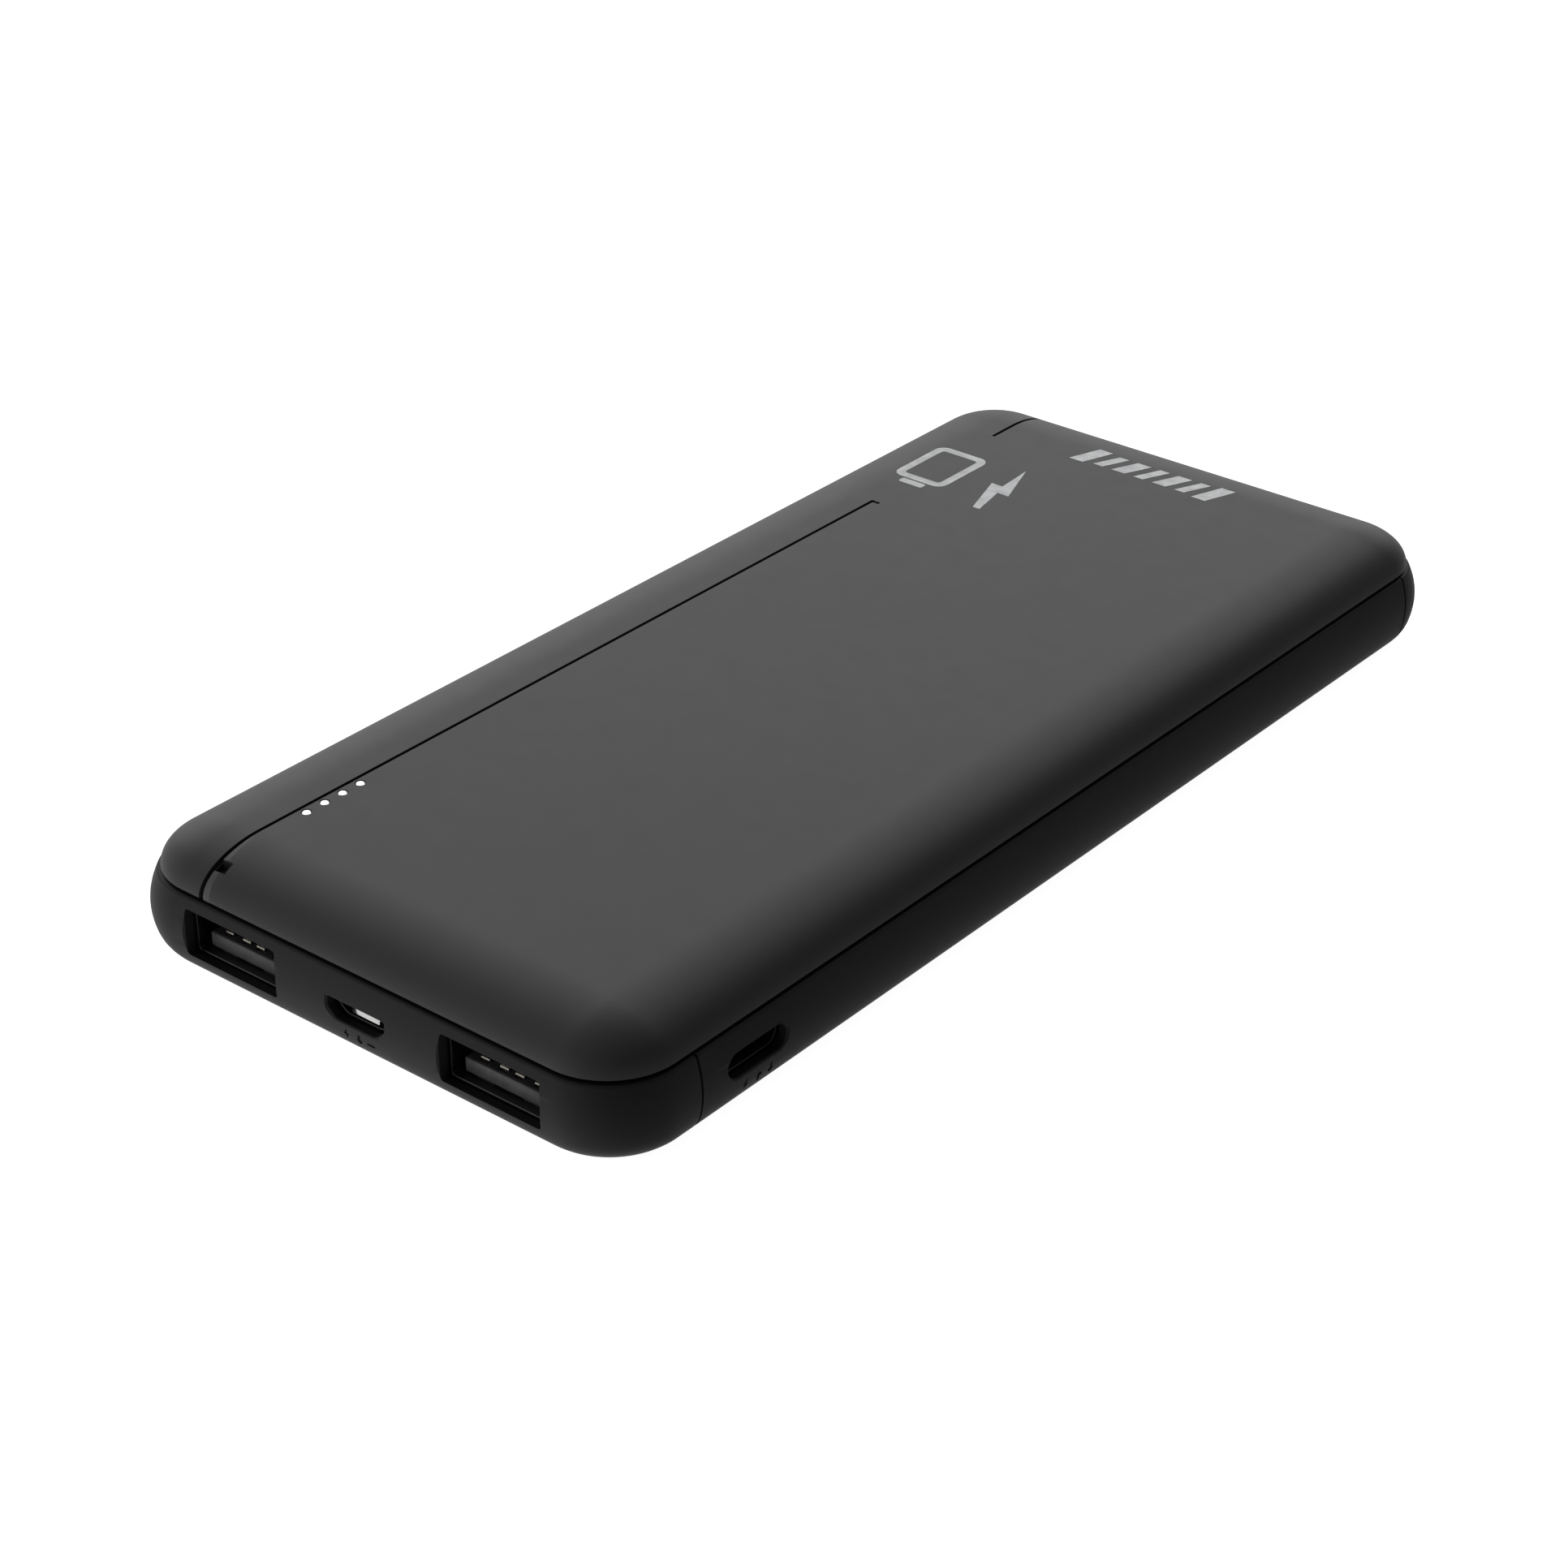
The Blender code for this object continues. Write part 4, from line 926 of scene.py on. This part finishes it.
def make_micro_usb_shell():
    """The shell, and a leg up to the board on either side."""
    ends = (MICRO_MOUTH_Y, MICRO_REAR_Y)
    shell = tube("micro_usb_shell_skin", micro_ring, micro_inner_ring, ends, MICRO_SHEET, edge=0.00006)
    legs = []
    low_z, high_z = MICRO_Z + 0.0009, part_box("main_board")[0].z - 0.0001
    front_y, rear_y = MICRO_MOUTH_Y + 0.0024, MICRO_MOUTH_Y + 0.0040
    for side in (-1, 1):
        across = sorted(side * (MICRO_OPENING[0] / 2 - inset) for inset in (0.0, MICRO_SHEET))
        legs.append(box_piece("leg", (across[0], front_y, low_z), (across[1], rear_y, high_z)))
    carve(shell, legs, "UNION")
    finished(shell, "case", "socket_steel", "micro_usb_shell")


def micro_core_low():
    """The low corner of the tongue's core, inside the plate."""
    nose = 0.00026
    low_z = MICRO_Z - MICRO_TONGUE_THICK + MICRO_CORE_INSET
    return (-MICRO_TONGUE_HALF + MICRO_CORE_INSET, MICRO_TONGUE_Y + nose, low_z)


def make_micro_usb_insert():
    """A block at the socket's back, and the core of its tongue."""
    back = MICRO_REAR_Y - MICRO_SHEET - FIT
    half_w = MICRO_OPENING[0] / 2 - MICRO_SHEET - FIT
    block, neck_depth, core_end = 0.001, 0.0008, 0.0005  # measured from the back
    low = (-half_w, back - block, MICRO_Z + GAP)
    high = (half_w, back, MICRO_Z + MICRO_OPENING[1] / 2 - MICRO_SHEET - FIT)
    insert = box_piece("micro_usb_insert_skin", low, high, SOCKET_PLASTIC, edge=0.0001)
    low = (-MICRO_TONGUE_HALF, back - neck_depth, MICRO_Z - MICRO_TONGUE_THICK)
    neck = box_piece("neck", low, (MICRO_TONGUE_HALF, back, MICRO_Z + 2 * GAP))
    high = (MICRO_TONGUE_HALF - MICRO_CORE_INSET, back - core_end, MICRO_Z - MICRO_CORE_INSET)
    core = box_piece("core", micro_core_low(), high)
    carve(insert, [neck, core], "UNION")
    finished(insert, "case", "socket_plastic", "micro_usb_insert")


def make_micro_usb_plate():
    """The polished metal round the tongue's core, with a nose that slopes back."""
    length, slope, sheet = 0.0030, 0.00016, 0.00005
    low = (-MICRO_TONGUE_HALF, MICRO_TONGUE_Y, MICRO_Z - MICRO_TONGUE_THICK)
    high = (MICRO_TONGUE_HALF, MICRO_TONGUE_Y + length, MICRO_Z)
    plate = box_piece("micro_usb_plate", low, high, BRIGHT_STEEL, edge=sheet)
    for vertex in plate.data.vertices:
        at_nose = vertex.co.y < MICRO_TONGUE_Y + MICRO_TONGUE_THICK
        if at_nose and vertex.co.z > MICRO_Z - MICRO_TONGUE_THICK / 2:
            vertex.co.y += slope
    low = [value - SHY for value in micro_core_low()]
    high = (MICRO_TONGUE_HALF - sheet, MICRO_TONGUE_Y + length + PROUD, MICRO_Z - sheet)
    carve(plate, [box_piece("inside", low, high)])
    finished(plate, "case", "socket_steel")


def make_usb_c_shell():
    place = (USB_C_Y, USB_C_Z)
    ends = (USB_C_MOUTH_X, USB_C_REAR_X)
    outer, inner = pill_mouth(USB_C_SHELL, place), pill_mouth(USB_C_INNER, place)
    shell = tube("usb_c_shell_skin", outer, inner, ends, USB_C_SHEET, edge=0.00008)
    finished(shell, "case", "socket_steel", "usb_c_shell")


def make_usb_c_insert():
    """A block at the socket's back, with a thin tongue down the middle."""
    base = [size - 2 * FIT for size in USB_C_INNER]
    low_x = USB_C_REAR_X + USB_C_SHEET + FIT
    block, root, set_back = 0.0018, 0.0013, 0.0006  # the tongue's root starts inside the block
    rings = [pill_ring(base, x, (USB_C_Y, USB_C_Z), "X") for x in (low_x, low_x + block)]
    insert = loft("usb_c_insert_skin", rings, SOCKET_PLASTIC)
    half_w, half_h = 0.00335, 0.00035
    low = (low_x + root, USB_C_Y - half_w, USB_C_Z - half_h)
    high = (USB_C_MOUTH_X - set_back, USB_C_Y + half_w, USB_C_Z + half_h)
    carve(insert, [box_piece("tongue", low, high, edge=0.00015, steps=3)], "UNION")
    finished(insert, "case", "socket_plastic", "usb_c_insert")


def make_usb_c_contacts():
    """Twelve thin pads on either face of the tongue."""
    count, pitch, half = 12, 0.0005, 0.00013
    sunk, proud = 0.00030, 0.00038  # from the tongue's middle
    ends = (USB_C_MOUTH_X - 0.0040, USB_C_MOUTH_X - 0.0010)
    pads = []
    for side in (-1, 1):
        low_z, high_z = sorted(USB_C_Z + side * out for out in (sunk, proud))
        for i in range(count):
            y = USB_C_Y + (i - (count - 1) / 2) * pitch
            low, high = (ends[0], y - half, low_z), (ends[1], y + half, high_z)
            pads.append(box_piece("pad", low, high, GOLD, edge=0.00001, steps=1))
    finished(joined("usb_c_contacts", pads, GOLD), "case", "contact_gold")


def joined(name, parts, surface):
    """One piece from several separate solids."""
    bm = bmesh.new()
    for part in parts:
        bm.from_mesh(part.data)
        bpy.data.objects.remove(part, do_unlink=True)
    return add_piece(name, bm, surface)


# ---------------------------------------------------------------- light guide and button
def make_light_guide():
    """A bar under the roof, and a round tip up into each light hole."""
    places = [middle_of(name) for name in LIGHTS]
    x = places[0][0]
    half, past = 0.0006, 0.0010
    low = (x - half, places[0][1] - past, GUIDE_BAR_Z[0])
    high = (x + half, places[-1][1] + past, GUIDE_BAR_Z[1])
    made = box_piece("light_guide_skin", low, high, GUIDE, edge=0.0001)
    tip = TOP_Z - PRINT
    rings = [(LIGHT_R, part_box("light_guide")[0].z), (LIGHT_R, tip - 0.00010)]
    rings += [(LIGHT_R * 0.92, tip - 0.00003), (LIGHT_R * 0.6, tip), (LIGHT_R * 0.2, tip)]
    carve(made, [turned("rod", place, rings) for place in places], "UNION")
    return finished(made, "case", "clear_guide", "light_guide")


def button_rings(rear_x):
    """The button's outlines from its gently domed face back to rear_x."""
    steps = 10
    place = (BUTTON_Y, BUTTON_Z)
    dome = [(0.00095, 0.0), (0.00035, 0.00004), (0.00016, 0.00012), (0.00005, 0.00024), (0.0, 0.00042)]
    rings = []
    for inset, back in dome:
        size = [side - 2 * inset for side in BUTTON_SIZE]
        rings.append(pill_ring(size, BUTTON_FACE_X + back, place, "X", steps))
    return rings + [pill_ring(BUTTON_SIZE, rear_x, place, "X", steps)]


def make_button():
    """The cap, the flange that stops it falling out, and the stem that presses the switch."""
    thick, overlap = 0.0006, 0.0001
    flange_low = -HALF_W + WALL + GAP
    flange_high = flange_low + thick
    rear_x = flange_high - overlap
    made = loft("power_button_skin", button_rings(rear_x), BUTTON)
    half_y, half_z = 0.0052, 0.0021
    low = (flange_low, BUTTON_Y - half_y, BUTTON_Z - half_z)
    high = (flange_high, BUTTON_Y + half_y, BUTTON_Z + half_z)
    flange = box_piece("flange", low, high, edge=0.0001)
    half_y, half_z = 0.0012, 0.0008
    low = (rear_x, BUTTON_Y - half_y, BUTTON_Z - half_z)
    high = (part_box("power_button")[1].x, BUTTON_Y + half_y, BUTTON_Z + half_z)
    stem = box_piece("stem", low, high)
    carve(made, [flange, stem], "UNION")
    return finished(made, "button", "button_black", "power_button")


# ---------------------------------------------------------------- finishes of the nodes kept from the frame
KEPT_LOOKS = [
    (BOARD, ["main_board", "protection_board"]),
    (CHIP, ["power_controller", "transistor_front", "transistor_rear", "tact_switch_plunger"]),
    (INDUCTOR, ["power_inductor"]),
    (CAPACITOR, ["capacitor_front", "capacitor_rear"]),
    (LED, LIGHTS),
    (SWITCH, ["tact_switch_body"]),
    (FOIL, ["battery_cell_lower", "battery_cell_upper"]),
    (NICKEL, ["nickel_tab_negative", "nickel_tab_positive"]),
    (TAPE, ["cell_bond_tape", "cell_floor_tape"]),
    (FOAM, ["cell_foam_pad"]),
    (LEAD_RED, ["battery_lead_red"]),
    (LEAD_BLACK, ["battery_lead_black"]),
    (SCREW, ["board_screw_1", "board_screw_2", "board_screw_3"]),
]


def dress_kept_nodes():
    for surface, names in KEPT_LOOKS:
        for name in names:
            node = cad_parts[name]
            node.data.materials.clear()
            node.data.materials.append(surface)


make_top_cover()
make_front_cap()
make_tray()
make_rear_cap()
print_battery()
print_bolt()
print_bars()
make_usb_a("left", -USB_A_X)
make_usb_a("right", USB_A_X)
make_micro_usb_shell()
make_micro_usb_insert()
make_micro_usb_plate()
make_usb_c_shell()
make_usb_c_insert()
make_usb_c_contacts()
make_light_guide()
make_button()
dress_kept_nodes()


# ---------------------------------------------------------------- floor, light and camera
FLOOR_SIZE, FLOOR_GLOW = 6.0, 0.95
FLOOR_DROP = 0.0001  # just under the base
AZIMUTH, ELEVATION = math.radians(39.206), math.radians(29.821)
CAMERA_PLACE = Vector((0.2101, -0.2660, PARTING_Z + 0.1831))
LENS, SENSOR = 79.55, 36.0  # millimetres
DIM_SIDE, BRIGHT_SIDE = 0.09, 0.66
OVERHEAD_SHARE = 0.60
SOFTBOX_PLACE = Vector((-0.60, 0.64, 0.0)) * 1.1 + Vector((0, 0, 0.60))
SOFTBOX_SIZE, SOFTBOX_POWER = (1.7, 1.0), 3.4


def make_floor():
    """A plain white floor: bright enough to stay white under the soft light."""
    bm = bmesh.new()
    bmesh.ops.create_grid(bm, x_segments=1, y_segments=1, size=FLOOR_SIZE)
    surface, _, shader = new_material("floor_white", (0.80, 0.80, 0.80), 0.9, specular=0.0)
    shader.inputs["Emission Color"].default_value = (1.0, 1.0, 1.0, 1.0)
    shader.inputs["Emission Strength"].default_value = FLOOR_GLOW
    floor = add_piece("floor", bm, surface)
    floor.location.z = CAD_BOX[0][2] - FLOOR_DROP
    floor.visible_glossy = False


def area_light(name, place, target, size, power):
    data = bpy.data.lights.new(name, "AREA")
    data.shape = "RECTANGLE"
    data.size, data.size_y = size
    data.energy = power
    made = bpy.data.objects.new(name, data)
    made.location = place
    made.rotation_euler = (Vector(target) - place).to_track_quat("-Z", "Y").to_euler()
    bpy.context.scene.collection.objects.link(made)


def make_camera():
    data = bpy.data.cameras.new("camera")
    data.lens = LENS
    data.sensor_width = SENSOR
    data.clip_start = 0.01
    made = bpy.data.objects.new("camera", data)
    made.location = CAMERA_PLACE
    made.rotation_euler = (math.pi / 2 - ELEVATION, 0.0, AZIMUTH)
    bpy.context.scene.collection.objects.link(made)
    bpy.context.scene.camera = made


def make_world():
    """A white room that is dim on its +X side, bright on its -X side, and dimmer overhead."""
    world = bpy.data.worlds.new("studio")
    world.use_nodes = True
    tree = world.node_tree
    split = tree.nodes.new("ShaderNodeSeparateXYZ")
    tree.links.new(tree.nodes.new("ShaderNodeTexCoord").outputs["Generated"], split.inputs[0])
    level = tree.nodes.new("ShaderNodeMath")
    level.operation = "MULTIPLY"
    across = ranged(tree, split.outputs[0], DIM_SIDE, BRIGHT_SIDE, start=0.55, end=-0.45)
    upward = ranged(tree, split.outputs[2], 1.0, OVERHEAD_SHARE, start=0.2, end=1.0)
    tree.links.new(across, level.inputs[0])
    tree.links.new(upward, level.inputs[1])
    tree.links.new(level.outputs[0], tree.nodes["Background"].inputs["Strength"])
    tree.nodes["Background"].inputs["Color"].default_value = (1.0, 1.0, 1.0, 1.0)
    bpy.context.scene.world = world


make_floor()
make_world()
bpy.context.scene.view_settings.view_transform = "Standard"
area_light("back_softbox", SOFTBOX_PLACE, (0, 0, 0), SOFTBOX_SIZE, SOFTBOX_POWER)
make_camera()
